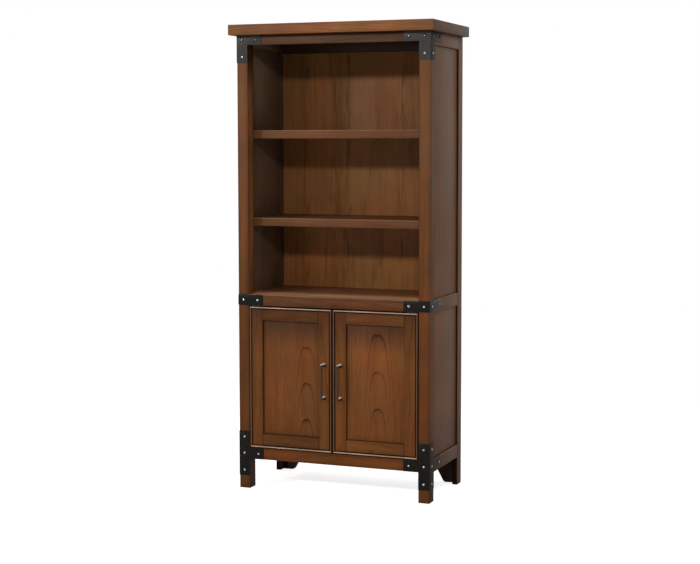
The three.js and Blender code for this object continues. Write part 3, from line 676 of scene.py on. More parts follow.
# Painted shade: the doors darken towards their top, from 0.58 m up to 0.79 m
DOOR_STAIN = Stain(
    "door_stain", srgb(76, 41, 14), srgb(101, 59, 23), srgb(119, 73, 32),
    slot="door_wood", ring_strength=0.22, high_tone=(0.5, 0.52, 0.58), low_span=(0.58, 0.79),
    mark_width=3.6 * MM,
)
# Painted shade: the panels darken from 0.61 m up to 0.7 m, and along their edges in the recess
PANEL_STAIN = Stain(
    "panel_stain", srgb(62, 30, 10), srgb(110, 64, 28), srgb(126, 78, 37),
    slot="door_wood", ring_gap=5.6 * MM, ring_strength=0.52, log_tilt=math.radians(2.0), pith_depth=70 * MM,
    squareness=3.2, high_tone=(0.5, 0.56, 0.68), low_span=(0.61, 0.7), late_power=7.0, mark_width=4 * MM,
    wobble=0.14, waver=0.07, rub_and_shade=0.15, rub_shade_reach=60 * MM,
)
# Lighter, greyer and glossier than the door stain: partly a painted highlight on the beads
BEAD_STAIN = Stain(
    "bead_stain", srgb(84, 52, 32), srgb(105, 69, 46), srgb(119, 83, 58), roughness=0.36, gloss=0.3
)
# Painted highlight on the crest of the doors' top and bottom beads
BEAD_HIGHLIGHT = Stain(
    "bead_painted_highlight", srgb(150, 120, 100), srgb(178, 148, 128), srgb(194, 166, 146), roughness=0.3, gloss=0.5
)
# Painted shade: near black in the quirks, on the beads' outer flanks, under rails and on the rear stiles'
# front step
RECESS_SHADE = Stain(
    "recess_painted_shade", srgb(18, 7, 2), srgb(26, 11, 4), srgb(36, 17, 7), roughness=0.65, gloss=0.05, occlusion_shade=0.0
)
# Painted light: the back lightens from 1.75 m down to 0.95 m, and the leaves left of -0.097 m are painted
# lighter against the left lamp's shadow there; the leaves' tones are partly their own
BACK_VENEER = Veneer(
    "back_veneer", srgb(66, 40, 20), srgb(115, 76, 43), srgb(130, 89, 52),
    slot="back_wood", ring_gap=22 * MM, ring_strength=0.12, streak=0.12, low_tone=(1.32, 1.27, 1.22),
    low_span=(0.95, 1.75), rub_and_shade=0.0, log_tilt=math.radians(0.8), pith_depth=330 * MM, wobble=0.7,
    waver=0.2,
    seams=((-0.5, 1.0), (-0.303, 1.14), (-0.156, 1.14), (-0.097, 1.0), (0.16, 0.97)),
)
# Painted shade: the rear rails and feet are stained nearly black, as the shade they stand in
REAR_SHADE_STAIN = Stain("rear_painted_shade", srgb(36, 22, 13), srgb(52, 33, 21), srgb(66, 44, 30), slot="back_wood")
BLACK_STEEL = Metal("black_steel", srgb(12, 11, 8), srgb(30, 27, 22), 0.0, 0.42, wear=0.4, gloss=0.16)
# Painted sheen: the top brackets' steel is a lighter grey than the rest
TOP_SHEEN_STEEL = replace(BLACK_STEEL, name="top_steel_painted_sheen", dark=srgb(49, 48, 47), pale=srgb(76, 75, 73))
# Painted light: a lighter, browner copy of the black steel for the brackets' outward faces
SIDE_STEEL = replace(BLACK_STEEL, name="side_steel", dark=srgb(40, 29, 21), pale=srgb(62, 50, 42), gloss=0.03)
RIVET_STEEL = RivetMetal("rivet_steel", srgb(20, 20, 19), srgb(208, 204, 196))
# Painted shade: the top rivets, under the slab, are near black with a small crown
SHADED_RIVET = RivetMetal("shaded_rivet", srgb(6, 6, 6), srgb(170, 166, 160), crown_reach=0.35)
NAIL_STEEL = Metal("nail_steel", srgb(96, 92, 84), srgb(150, 146, 138), 0.9, 0.4, cloud_size=4 * MM)
DARK_BRONZE = Metal(
    "dark_bronze", srgb(68, 49, 36), srgb(108, 80, 60), 0.35, 0.5, cloud_size=6 * MM, gloss=0.16
)
# Pewter with its undersides painted dark as shade
PEWTER = Metal(
    "pewter", srgb(236, 218, 204), srgb(252, 242, 234), 0.15, 0.24, cloud_size=5 * MM, gloss=1.0, underside_shade=0.97
)
HINGE_BRONZE = Metal("hinge_bronze", srgb(40, 30, 22), srgb(74, 58, 42), 0.7, 0.45, cloud_size=8 * MM)
CATCH_BLACK = Metal("catch_black", srgb(22, 22, 22), srgb(34, 34, 34), 0.0, 0.55, cloud_size=10 * MM)


def in_scene(name: str, data: ID) -> Object:
    """Links new data to the scene as an object.

    Args:
        name: The object's name.
        data: Its mesh, lamp or camera data.

    Returns:
        The new object.
    """
    thing = bpy.data.objects.new(name, data)
    bpy.context.scene.collection.objects.link(thing)
    return thing


def new_piece(name: str, mesh: Mesh, body: str, slot: str) -> Object:
    """Links a finished mesh and lets it ride on a body.

    Args:
        name: The piece's name.
        mesh: Its mesh, in place.
        body: The body that it rides on.
        slot: Not used.

    Returns:
        The new object.
    """
    piece = in_scene(name, mesh)
    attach(piece, body)
    return piece


def settle(piece: Object) -> Mesh:
    """Applies a piece's modifiers.

    Args:
        piece: The piece.

    Returns:
        The plain mesh that results.
    """
    bpy.context.view_layer.update()
    graph = bpy.context.evaluated_depsgraph_get()
    live = piece.evaluated_get(graph)
    mesh = bpy.data.meshes.new_from_object(live, preserve_all_data_layers=True, depsgraph=graph)
    piece.modifiers.clear()
    old, piece.data = piece.data, mesh
    bpy.data.meshes.remove(old)
    return mesh


def shade(mesh: Mesh, sharp: float) -> None:
    """Shades a mesh smooth, save where it turns by more than an angle in degrees."""
    mesh.shade_smooth()
    mesh.set_sharp_from_angle(angle=math.radians(sharp))


def soften(piece: Object, width: float, turn: float, sharp: float) -> None:
    """Rounds a piece's edges, applies its modifiers and shades it.

    Args:
        piece: The piece.
        width: How wide the rounding is.
        turn: The smallest turn that is rounded, in degrees.
        sharp: The smallest turn that stays sharp when shaded, in degrees.
    """
    bevel = piece.modifiers.new("edge", "BEVEL")
    bevel.width, bevel.segments = width, 2
    bevel.limit_method, bevel.angle_limit = "ANGLE", math.radians(turn)
    shade(settle(piece), sharp)


def keep(shape: BMesh, name: str, body: str, slot: str, material: Material, sharp: float) -> Object:
    """Makes a piece of a shape that stands in place.

    Args:
        shape: The shape, which is freed.
        name: The piece's name.
        body: The body that it rides on.
        slot: The material slot's name, passed on to new_piece.
        material: Its finish.
        sharp: The smallest turn that stays sharp when shaded, in degrees.

    Returns:
        The piece.
    """
    mesh = bpy.data.meshes.new(name)
    shape.to_mesh(mesh)
    shape.free()
    shade(mesh, sharp)
    mesh.materials.append(material)
    log.info("piece %s: %d faces", name, len(mesh.polygons))
    return new_piece(name, mesh, body, slot)


def cover(piece: Object, material: Material, towards: Vector) -> None:
    """Gives a finish to a piece's faces that look one way.

    Args:
        piece: The piece.
        material: The finish.
        towards: The way that the faces look.
    """
    piece.data.materials.append(material)
    for face in piece.data.polygons:
        if face.normal.dot(towards) > FACING:
            face.material_index = len(piece.data.materials) - 1


@dataclass
class Woodwork:
    """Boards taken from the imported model, with their arrises softened, and stained."""

    body: str = "case"
    arris: float = 0.6 * MM
    weld: float = 0.002 * MM
    # The turns, in degrees, that count as flat, are rounded, and stay sharp when shaded
    flat: float = 0.5
    rounded: float = 40.0
    sharp: float = 35.0
    made: list[Object] = field(default_factory=list)

    def plane(self, node: str, slot: str) -> Object:
        """Copies a board, joins its loose faces and softens its arrises.

        Args:
            node: The board's node, which the copy stands for.
            slot: The material slot's name, passed on to new_piece.

        Returns:
            The board.
        """
        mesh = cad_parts[node].data.copy()
        mesh.name = f"{node}_board"
        mesh.materials.clear()
        shape = bmesh.new()
        shape.from_mesh(mesh)
        bmesh.ops.remove_doubles(shape, verts=shape.verts, dist=self.weld)
        flat = math.radians(self.flat)
        bmesh.ops.dissolve_limit(shape, angle_limit=flat, verts=shape.verts, edges=shape.edges)
        shape.to_mesh(mesh)
        shape.free()
        board = new_piece(f"{node}_board", mesh, self.body, slot)
        soften(board, self.arris, self.rounded, self.sharp)
        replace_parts(board, node)
        self.made.append(board)
        return board

    def dress(
        self,
        node: str,
        stain: Stain,
        grain: Grain,
        level: float = 1.0,
        aside: float | None = None,
        marks: Marks = (),
    ) -> Object:
        """Planes a board and stains it.

        Args:
            node: The board's node.
            stain: Its finish.
            grain: The axis that its grain follows.
            level: How light the board is against its fellows.
            aside: How far the arches stand from the board's middle, or None for a place of its own.
            marks: Axes and places of dark lines, partly joints and partly painted shadow.

        Returns:
            The dressed board.
        """
        board = self.plane(node, stain.slot)
        board.data.materials.append(stain.material(board, grain, len(self.made), level, aside, marks))
        log.info("board %s: %d faces", board.name, len(board.data.polygons))
        return board

    def face(
        self,
        board: Object,
        stain: Stain,
        grain: Grain,
        towards: Vector,
        level: float = 1.0,
        pick: int | None = None,
        marks: Marks = (),
    ) -> None:
        """Stains a board's faces that look one way.

        Args:
            board: The board.
            stain: The faces' finish.
            grain: The axis that the board's grain follows.
            towards: The way that the faces look.
            level: How light the faces are.
            pick: Which stretch of the log they show, or None to take the count of boards.
            marks: Axes and places of dark lines, partly joints and partly painted shadow.
        """
        pick = len(self.made) if pick is None else pick
        cover(board, stain.material(board, grain, pick, level, marks=marks), towards)


@dataclass
class Case(Woodwork):
    """The slab, posts, framed sides and front rails."""

    slab_level: float = 0.95
    slab_under_shade: float = 0.4
    top_rail_shade: float = 0.6
    middle_rail_level: float = 0.77
    bottom_rail_level: float = 1.02
    left_post_level: float = 1.07
    right_post_level: float = 1.13
    post_inside_level: float = 1.4
    post_outside_shade: float = 0.88
    stile_inside_shade: float = 0.5

    def build(self) -> None:
        """Dresses the slab, both sides and the three front rails."""
        slab = self.dress("top_slab", SLAB_STAIN, Grain.ACROSS, self.slab_level)
        for hand in Hand:
            self.face(slab, SLAB_END_STAIN, Grain.DEEP, hand.outward, pick=hand.sign)
        # Painted shade: the slab's underside takes a darker copy of its stain
        self.face(slab, SLAB_STAIN, Grain.ACROSS, -UP, self.slab_under_shade, pick=2)
        # Painted shadow of the slab's overhang: the top rail is darker towards its top, with a dark line
        # along its upper edge
        low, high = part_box("front_top_rail")
        span = (low.z, high.z)
        shaded = replace(FRAME_STAIN, low_tone=(1.2, 1.5, 2.1), high_tone=(0.62, 0.72, 0.95), low_span=span)
        self.dress("front_top_rail", shaded, Grain.ACROSS, self.top_rail_shade, marks=((2, high.z),))
        self.dress("front_bottom_rail", FRAME_STAIN, Grain.ACROSS, self.bottom_rail_level)
        rail = self.dress("front_middle_rail", FRAME_STAIN, Grain.ACROSS, self.middle_rail_level)
        # Painted highlight on the middle rail's top and front arris
        for towards in (UP, FRONT_EDGE):
            self.face(rail, ARRIS_HIGHLIGHT, Grain.ACROSS, towards, pick=3)
        for hand in Hand:
            self.build_side(hand)

    def build_side(self, hand: Hand) -> None:
        """Dresses one framed side.

        Args:
            hand: Which side.
        """
        side = hand.value
        lows, highs = zip(*(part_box(f"{tier.value}_{side}") for tier in Tier))
        # The posts are painted darker along the brackets' edges
        marks = [(2, z) for z in (lows[0].z, lows[1].z, highs[1].z, highs[2].z)]
        level = self.left_post_level
        if hand is Hand.RIGHT:
            level = self.right_post_level
            marks.append((0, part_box("front_post_right")[0].x))
        post = self.dress(f"front_post_{side}", POST_STAIN, Grain.UPRIGHT, level, marks=marks)
        top_end = ((2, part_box("front_top_rail")[0].z),)
        inward = -hand.outward
        # Painted shade on the posts' inner faces, and a darker copy of the side stain on their outward faces
        self.face(post, POST_INSIDE_SHADE, Grain.UPRIGHT, inward, self.post_inside_level, marks=top_end)
        self.face(post, CORNER_SHADE_STAIN, Grain.UPRIGHT, hand.outward, self.post_outside_shade)
        stile = self.dress(f"rear_stile_{side}", SIDE_STAIN, Grain.UPRIGHT)
        # Painted shade on the rear stile's front step
        self.face(stile, RECESS_SHADE, Grain.UPRIGHT, FORWARD)
        for rail in ("top", "middle", "bottom"):
            board = self.dress(f"side_{rail}_rail_{side}", SIDE_STAIN, Grain.DEEP)
            # Painted shade on the rails' undersides, and a painted highlight on the lower rails' upper outer
            # arris
            self.face(board, RECESS_SHADE, Grain.DEEP, -UP)
            self.face(board, INSIDE_STAIN, Grain.DEEP, inward)
            if rail != "top":
                self.face(board, ARRIS_HIGHLIGHT, Grain.DEEP, (hand.outward + UP).normalized())
        # The rear stile's inner face is painted darker, as shade
        self.face(stile, INSIDE_STAIN, Grain.UPRIGHT, inward, self.stile_inside_shade)
        for panel in ("upper", "lower"):
            board = self.dress(f"side_panel_{panel}_{side}", SIDE_STAIN, Grain.UPRIGHT)
            self.face(board, INSIDE_STAIN, Grain.UPRIGHT, inward)


@dataclass
class Shelving(Woodwork):
    """The shelves, and the cabinet's deck, floor and door stop."""

    arris: float = 1.2 * MM
    deck_level: float = 1.5
    deck_highlight: Span = (60 * MM, 150 * MM)

    def build(self) -> None:
        """Dresses every level board."""
        for node in ("shelf_upper", "shelf_lower", "cabinet_shelf", "cabinet_floor", "door_stop"):
            board = self.dress(node, SHELF_STAIN, Grain.ACROSS)
            # Painted highlight on the front arris
            self.face(board, ARRIS_HIGHLIGHT, Grain.ACROSS, FRONT_EDGE)
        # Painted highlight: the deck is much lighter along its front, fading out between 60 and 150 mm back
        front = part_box("cabinet_deck")[0].y
        span = (front + self.deck_highlight[0], front + self.deck_highlight[1])
        painted_light = replace(SHELF_STAIN, low_tone=(2.5, 3.2, 4.2), tone_axis=1, low_span=span)
        self.dress("cabinet_deck", painted_light, Grain.ACROSS, self.deck_level)


@dataclass
class Heads:
    """Domed heads set on seats by Geometry Nodes: rivets, or the nails of the back."""

    name: str
    radius: float
    height: float
    metal: Material
    seed: int = 7
    sides: int = 20
    rings: int = 14
    sunk: float = 0.15
    sizes: Span = (0.96, 1.04)

    def tree(self) -> NodeTree:
        """Builds the tree that sets a head on each seat, turned to the seat's outward direction.

        Returns:
            The tree, whose inputs are named.
        """
        tree = bpy.data.node_groups.new("domed_heads", "GeometryNodeTree")
        tree.is_modifier = True
        kinds = {"Seats": "Geometry", "Radius": "Float", "Height": "Float"}
        kinds |= {"Sides": "Int", "Seed": "Int", "Metal": "Material"}
        for label, kind in kinds.items():
            tree.interface.new_socket(label, in_out="INPUT", socket_type=f"NodeSocket{kind}")
        tree.interface.new_socket("Heads", in_out="OUTPUT", socket_type="NodeSocketGeometry")
        wiring = Wiring(tree, "GeometryNode")
        add = wiring.add
        given = add("NodeGroupInput").outputs
        round_ball = {"Segments": given["Sides"], "Rings": self.rings, "Radius": 1.0}
        ball = add("MeshUVSphere", round_ball).outputs["Mesh"]
        x, y, z = wiring.parts(add("InputPosition").outputs[0])
        seated = wiring.vector(x, y, wiring.maths("MAXIMUM", z, -self.sunk))
        dome = add("SetPosition", {"Geometry": ball, "Position": seated}).outputs[0]
        reach = add("ShaderNodeVectorMath", {0: wiring.vector(x, y)}, operation="LENGTH").outputs["Value"]
        rim = {"Geometry": dome, "Name": "rim", "Value": reach}
        head = add("StoreNamedAttribute", rim, data_type="FLOAT", domain="POINT").outputs[0]
        named = add("InputNamedAttribute", {"Name": "outward"}, data_type="FLOAT_VECTOR")
        outward = named.outputs["Attribute"]
        turn = add("FunctionNodeAlignRotationToVector", {"Vector": outward}, axis="Z").outputs[0]
        chances = {2: self.sizes[0], 3: self.sizes[1], "Seed": given["Seed"]}
        chance = add("FunctionNodeRandomValue", chances, data_type="FLOAT").outputs[1]
        size = wiring.vector(given["Radius"], given["Radius"], given["Height"])
        size = add("ShaderNodeVectorMath", {0: size, "Scale": chance}, operation="SCALE").outputs[0]
        seats = {"Points": given["Seats"], "Instance": head, "Rotation": turn, "Scale": size}
        heads = add("RealizeInstances", {0: add("InstanceOnPoints", seats).outputs[0]}).outputs[0]
        finish = add("SetMaterial", {"Geometry": heads, "Material": given["Metal"]}).outputs[0]
        add("NodeGroupOutput", {0: finish})
        return tree

    def build(self, seats: Sequence[Seat]) -> None:
        """Sets the heads on the case and makes them one plain mesh.

        Args:
            seats: Each head's place and outward direction.
        """
        mesh = bpy.data.meshes.new(self.name)
        mesh.from_pydata([place for place, _ in seats], [], [])
        outward = mesh.attributes.new("outward", "FLOAT_VECTOR", "POINT")
        for row, (_, direction) in zip(outward.data, seats):
            row.vector = direction
        heads = in_scene(self.name, mesh)
        modifier = heads.modifiers.new("heads", "NODES")
        modifier.node_group = self.tree()
        values = {"Radius": self.radius, "Height": self.height}
        values |= {"Sides": self.sides, "Seed": self.seed, "Metal": self.metal}
        for item in modifier.node_group.interface.items_tree:
            if item.in_out == "INPUT" and item.name in values:
                modifier[item.identifier] = values[item.name]
        settle(heads).shade_smooth()
        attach(heads, "case")
        log.info("heads %s: %d seats", self.name, len(seats))


@dataclass
class Back(Woodwork):
    """The back's two sheets, the rear rails and the bracket feet."""

    sheets: tuple[str, str] = ("back_panel_upper", "back_panel_lower")
    nail_gap: float = 140 * MM
    nail_inset: float = 5 * MM
    nail_radius: float = 2.6 * MM
    nail_height: float = 0.7 * MM
    nail_sides: int = 12

    def build(self) -> None:
        """Dresses the back and nails its sheets on."""
        for sheet in self.sheets:
            self.dress(sheet, BACK_VENEER, Grain.UPRIGHT)
        feet = [f"rear_foot_bracket_{hand.value}" for hand in Hand]
        for board in ("rear_top_rail", "rear_bottom_rail", *feet):
            self.dress(board, REAR_SHADE_STAIN, Grain.ACROSS)
        metal = NAIL_STEEL.material()
        heads = Heads("back_nails", self.nail_radius, self.nail_height, metal, sides=self.nail_sides)
        heads.build(list(self.nail_seats()))

    def spaced(self, start: float, end: float) -> list[float]:
        """Gives evenly spaced places from start to end, about a nail's gap apart."""
        count = max(2, round((end - start) / self.nail_gap))
        return [start + (end - start) * step / count for step in range(count + 1)]

    def nail_seats(self) -> Iterable[Seat]:
        """Spaces the nails evenly down the edges of both sheets and along their ends.

        Returns:
            Each nail's place and outward direction.
        """
        inset = Vector((self.nail_inset, 0.0, self.nail_inset))
        for sheet in self.sheets:
            low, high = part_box(sheet)
            low, high = low + inset, high - inset
            places = [(x, z) for z in self.spaced(low.z, high.z) for x in (low.x, high.x)]
            places += [(x, z) for x in self.spaced(low.x, high.x)[1:-1] for z in (low.z, high.z)]
            yield from ((Vector((x, high.y, z)), -FORWARD) for x, z in places)


class Tier(Enum):
    """The three heights at which steel brackets wrap the corners."""

    TOP = "top_corner_bracket"
    MIDDLE = "middle_corner_strap"
    BOTTOM = "bottom_corner_bracket"


@dataclass
class CornerBracket:
    """A steel bracket bent round a front corner, with rivets along its legs."""

    hand: Hand
    tier: Tier
    steel: Material
    side_steel: Material
    thickness: float = 2 * MM
    bend: float = 3 * MM
    bend_cells: int = 6
    front_leg: float = 114 * MM
    side_leg: float = 142 * MM
    upright_front: float = 48 * MM
    upright_side: float = 54 * MM
    rivet_inset: float = 24 * MM
    edge: float = 0.5 * MM
    # The turns, in degrees, that are rounded and that stay sharp when shaded
    rounded: float = 50.0
    sharp: float = 40.0

    @property
    def node(self) -> str:
        """Gives the bracket's node."""
        return f"{self.tier.value}_{self.hand.value}"

    def heights(self) -> tuple[Span, Span, list[float]]:
        """Finds how high the bracket's upright and its arm reach.

        Returns:
            The upright's span, the arm's span and the heights of the upright's own rivets.
        """
        low, high = (corner.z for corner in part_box(self.node))
        if self.tier is Tier.MIDDLE:
            return (low, high), (low, high), []
        if self.tier is Tier.TOP:
            return (low, high), (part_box("front_top_rail")[0].z, high), [low + self.rivet_inset]
        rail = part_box("front_bottom_rail")
        return (low, high), (rail[0].z, rail[1].z), [low + self.rivet_inset, high - self.rivet_inset]

    def corner(self) -> Vector:
        """Gives the wood's front corner, at the floor."""
        low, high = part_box(f"front_post_{self.hand.value}")
        return Vector((max(high.x, -low.x), low.y, 0.0))

    def around(self, along: float, z: float) -> Vector:
        """Wraps a place on the flat blank round the corner, onto the bracket's outer face.

        Args:
            along: The distance along the blank, below zero on the front leg.
            z: The height.

        Returns:
            The place on the right-hand bracket.
        """
        corner, quarter = self.corner(), self.bend * math.pi / 4
        turn = min(max((along + quarter) / self.bend, 0.0), math.pi / 2) - math.pi / 2
        x = corner.x + self.thickness + self.bend * (math.cos(turn) - 1) + min(along + quarter, 0.0)
        y = corner.y - self.thickness + self.bend * (math.sin(turn) + 1) + max(along - quarter, 0.0)
        return Vector((x, y, z))

    def blank(self) -> Mesh:
        """Cuts the flat blank in cells, bends it round the corner and gives it to the bracket's own side.

        Returns:
            The sheet, without its thickness.
        """
        quarter = self.bend * math.pi / 4
        spare = self.thickness - self.bend + quarter
        ends = (-spare - self.front_leg, spare + self.side_leg)
        feet = (-spare - self.upright_front, spare + self.upright_side)
        upright, arm, _ = self.heights()
        turns = [quarter * (2 * step / self.bend_cells - 1) for step in range(self.bend_cells + 1)]
        columns = sorted({*ends, *turns} if self.tier is Tier.MIDDLE else {*ends, *feet, *turns})
        rows = sorted({*upright, *arm})
        shape = bmesh.new()
        grid = [[shape.verts.new(self.around(along, z)) for along in columns] for z in rows]
        for i in range(len(rows) - 1):
            in_arm = arm[0] < (rows[i] + rows[i + 1]) / 2 < arm[1]
            for j in range(len(columns) - 1):
                if in_arm or feet[0] < (columns[j] + columns[j + 1]) / 2 < feet[1]:
                    shape.faces.new((grid[i][j], grid[i][j + 1], grid[i + 1][j + 1], grid[i + 1][j]))
        loose = [vert for vert in shape.verts if not vert.link_faces]
        bmesh.ops.delete(shape, geom=loose, context="VERTS")
        if self.hand is Hand.LEFT:
            bmesh.ops.transform(shape, matrix=Matrix.Scale(-1, 4, Vector((1, 0, 0))), verts=shape.verts)
            bmesh.ops.reverse_faces(shape, faces=shape.faces)
        mesh = bpy.data.meshes.new(f"{self.node}_plate")
        shape.to_mesh(mesh)
        shape.free()
        return mesh

    def build(self) -> list[Seat]:
        """Bends the plate and gives the seats of its rivets.

        Returns:
            Each rivet's place and outward direction.
        """
        plate = new_piece(f"{self.node}_plate", self.blank(), "case", "bracket_steel")
        wall = plate.modifiers.new("wall", "SOLIDIFY")
        wall.thickness, wall.offset = self.thickness, -1.0
        soften(plate, self.edge, self.rounded, self.sharp)
        plate.data.materials.append(self.steel)
        # The outward faces take the lighter side steel, painted light on that side
        if self.tier is not Tier.MIDDLE:
            cover(plate, self.side_steel, self.hand.outward)
        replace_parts(plate, self.node)
        log.info("bracket %s: %d faces", plate.name, len(plate.data.polygons))
        return self.seats()

    def seats(self) -> list[Seat]:
        """Sets out the rivets, those near the corner first.

        Returns:
            Each rivet's place and outward direction.
        """
        corner, sign = self.corner(), self.hand.sign
        _, arm, others = self.heights()
        middle = sum(arm) / 2
        face, edge = corner.y - self.thickness, sign * (corner.x + self.thickness)
        seats = []
        for heights, front, side in (
            ((middle, *others), self.rivet_inset, self.rivet_inset),
            ((middle,), self.front_leg - self.rivet_inset, self.side_leg - self.rivet_inset),
        ):
            seats += [(Vector((sign * (corner.x - front), face, z)), FORWARD) for z in heights]
            seats += [(Vector((edge, corner.y + side, z)), self.hand.outward) for z in heights]
        return seats


@dataclass
class Ironwork:
    """All six corner brackets and their rivets."""

    rivet_radius: float = 5.6 * MM
    rivet_height: float = 3.0 * MM

    def build(self) -> None:
        """Bends the brackets and sets their rivets."""
        black, side = BLACK_STEEL.material(), SIDE_STEEL.material()
        # The top brackets take the steel with a painted sheen
        steels = {Tier.TOP: TOP_SHEEN_STEEL.material(), Tier.MIDDLE: black, Tier.BOTTOM: black}
        seats = []
        for hand in Hand:
            for tier, steel in steels.items():
                seats += CornerBracket(hand, tier, steel, side).build()
        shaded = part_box("front_top_rail")[0].z
        # The top rivets take the rivet metal painted with shade
        rows = {
            "corner_rivets": (RIVET_STEEL, [seat for seat in seats if seat[0].z < shaded]),
            "shaded_top_rivets": (SHADED_RIVET, [seat for seat in seats if seat[0].z > shaded]),
        }
        for name, (metal, row) in rows.items():
            Heads(name, self.rivet_radius, self.rivet_height, metal.material()).build(row)


def turned(profile: Sequence[Span], sides: int = 36) -> BMesh:
    """Turns a profile about the Z axis into a closed solid.

    Args:
        profile: Radii and heights, from the bottom up.
        sides: How many sides the turning has.

    Returns:
        The solid, with its ends closed.
    """
    shape = bmesh.new()
    angles = [2 * math.pi * side / sides for side in range(sides)]
    round_about = [(math.cos(angle), math.sin(angle)) for angle in angles]
    rings = [[shape.verts.new((r * x, r * y, z)) for x, y in round_about] for r, z in profile]
    for low, high in zip(rings, rings[1:]):
        for i in range(sides):
            j = (i + 1) % sides
            shape.faces.new((low[i], low[j], high[j], high[i]))
    shape.faces.new(list(reversed(rings[0])))
    shape.faces.new(rings[-1])
    return shape


@dataclass
class BarPull:
    """A slim upright bar held by two turned posts, with a ferrule round each of its ends."""

    hand: Hand
    bronze: Material
    pewter: Material
    bar_radius: float = 4.8 * MM
    bar_hidden: float = 4 * MM
    ferrule_radius: float = 5.6 * MM
    ferrule_length: float = 7 * MM
    ferrule_lip: float = 0.6 * MM
    crown: float = 3.2 * MM
    crown_steps: int = 7
    sharp: float = 50.0
    # The posts' radii, in millimetres, and where along the post each one lies
    post_radii: tuple[float, ...] = (8.3, 8.5, 8.5, 8.35, 8.0, 7.4, 6.7, 5.9, 5.3, 5.0, 4.9)
    post_shares: tuple[float, ...] = (0.0, 0.02, 0.1, 0.2, 0.3, 0.4, 0.48, 0.55, 0.62, 0.7, 0.95)

    def build(self) -> None:
        """Turns the bar, its ferrules and both posts."""
        node = f"pull_bar_{self.hand.value}"
        low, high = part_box(node)
        centre, half = (low + high) / 2, (high.z - low.z) / 2
        shown = half - self.bar_hidden
        bar = turned([(self.bar_radius, -shown), (self.bar_radius, shown)])
        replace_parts(self.set_in(bar, "bar", centre), node)
        for end, sign in (("upper", 1), ("lower", -1)):
            node = f"pull_{end}_post_{self.hand.value}"
            low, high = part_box(node)
            foot = Vector((centre.x, high.y, (low.z + high.z) / 2))
            length = foot.y - centre.y
            post = turned([(r * MM, share * length) for r, share in zip(self.post_radii, self.post_shares)])
            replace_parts(self.set_in(post, f"{end}_post", foot, 90, True), node)
            # Painted light: the upper ferrule is pale pewter and the lower one dark bronze, as the lit top
            # and the shaded bottom
            tip = centre + Vector((0, 0, sign * half))
            self.set_in(self.ferrule(), f"{end}_ferrule", tip, 90 - 90 * sign, sign > 0)

    def set_in(
        self, shape: BMesh, label: str, place: Vector, turn: float = 0.0, pale: bool = False
    ) -> Object:
        """Sets a turned shape in place as a piece.

        Args:
            shape: The shape, about its own origin.
            label: What it is.
            place: Where its origin goes.
            turn: How far it is turned about X first, in degrees.
            pale: Whether it is pewter, and not bronze.

        Returns:
            The piece.
        """
        if turn:
            matrix = Matrix.Rotation(math.radians(turn), 3, "X")
            bmesh.ops.rotate(shape, cent=(0, 0, 0), matrix=matrix, verts=shape.verts)
        bmesh.ops.translate(shape, vec=place, verts=shape.verts)
        bmesh.ops.recalc_face_normals(shape, faces=shape.faces)
        slot, metal = ("pull_post_pewter", self.pewter) if pale else ("pull_bar_bronze", self.bronze)
        side = self.hand.value
        return keep(shape, f"pull_{side}_{label}", f"door_{side}", slot, metal, self.sharp)

    def ferrule(self) -> BMesh:
        """Turns a ferrule whose domed end is at its origin, with the rest below.

        Returns:
            The ferrule, standing along Z.
        """
        radius, length, lip, crown = self.ferrule_radius, self.ferrule_length, self.ferrule_lip, self.crown
        angles = [step * math.pi / 2 / self.crown_steps for step in range(self.crown_steps)]
        dome = [(radius * math.cos(angle), crown * (math.sin(angle) - 1)) for angle in angles]
        return turned([(radius - lip, -length), (radius, lip - length), *dome])


class Finish(Enum):
    """The finishes of a door frame's faces, in the order of its materials, among them a painted highlight and
    two painted shades.
    """

    FLAT = 0
    BEAD = 1
    HIGHLIGHT = 2
    SHADED_RECESS = 3
    EDGE = 4


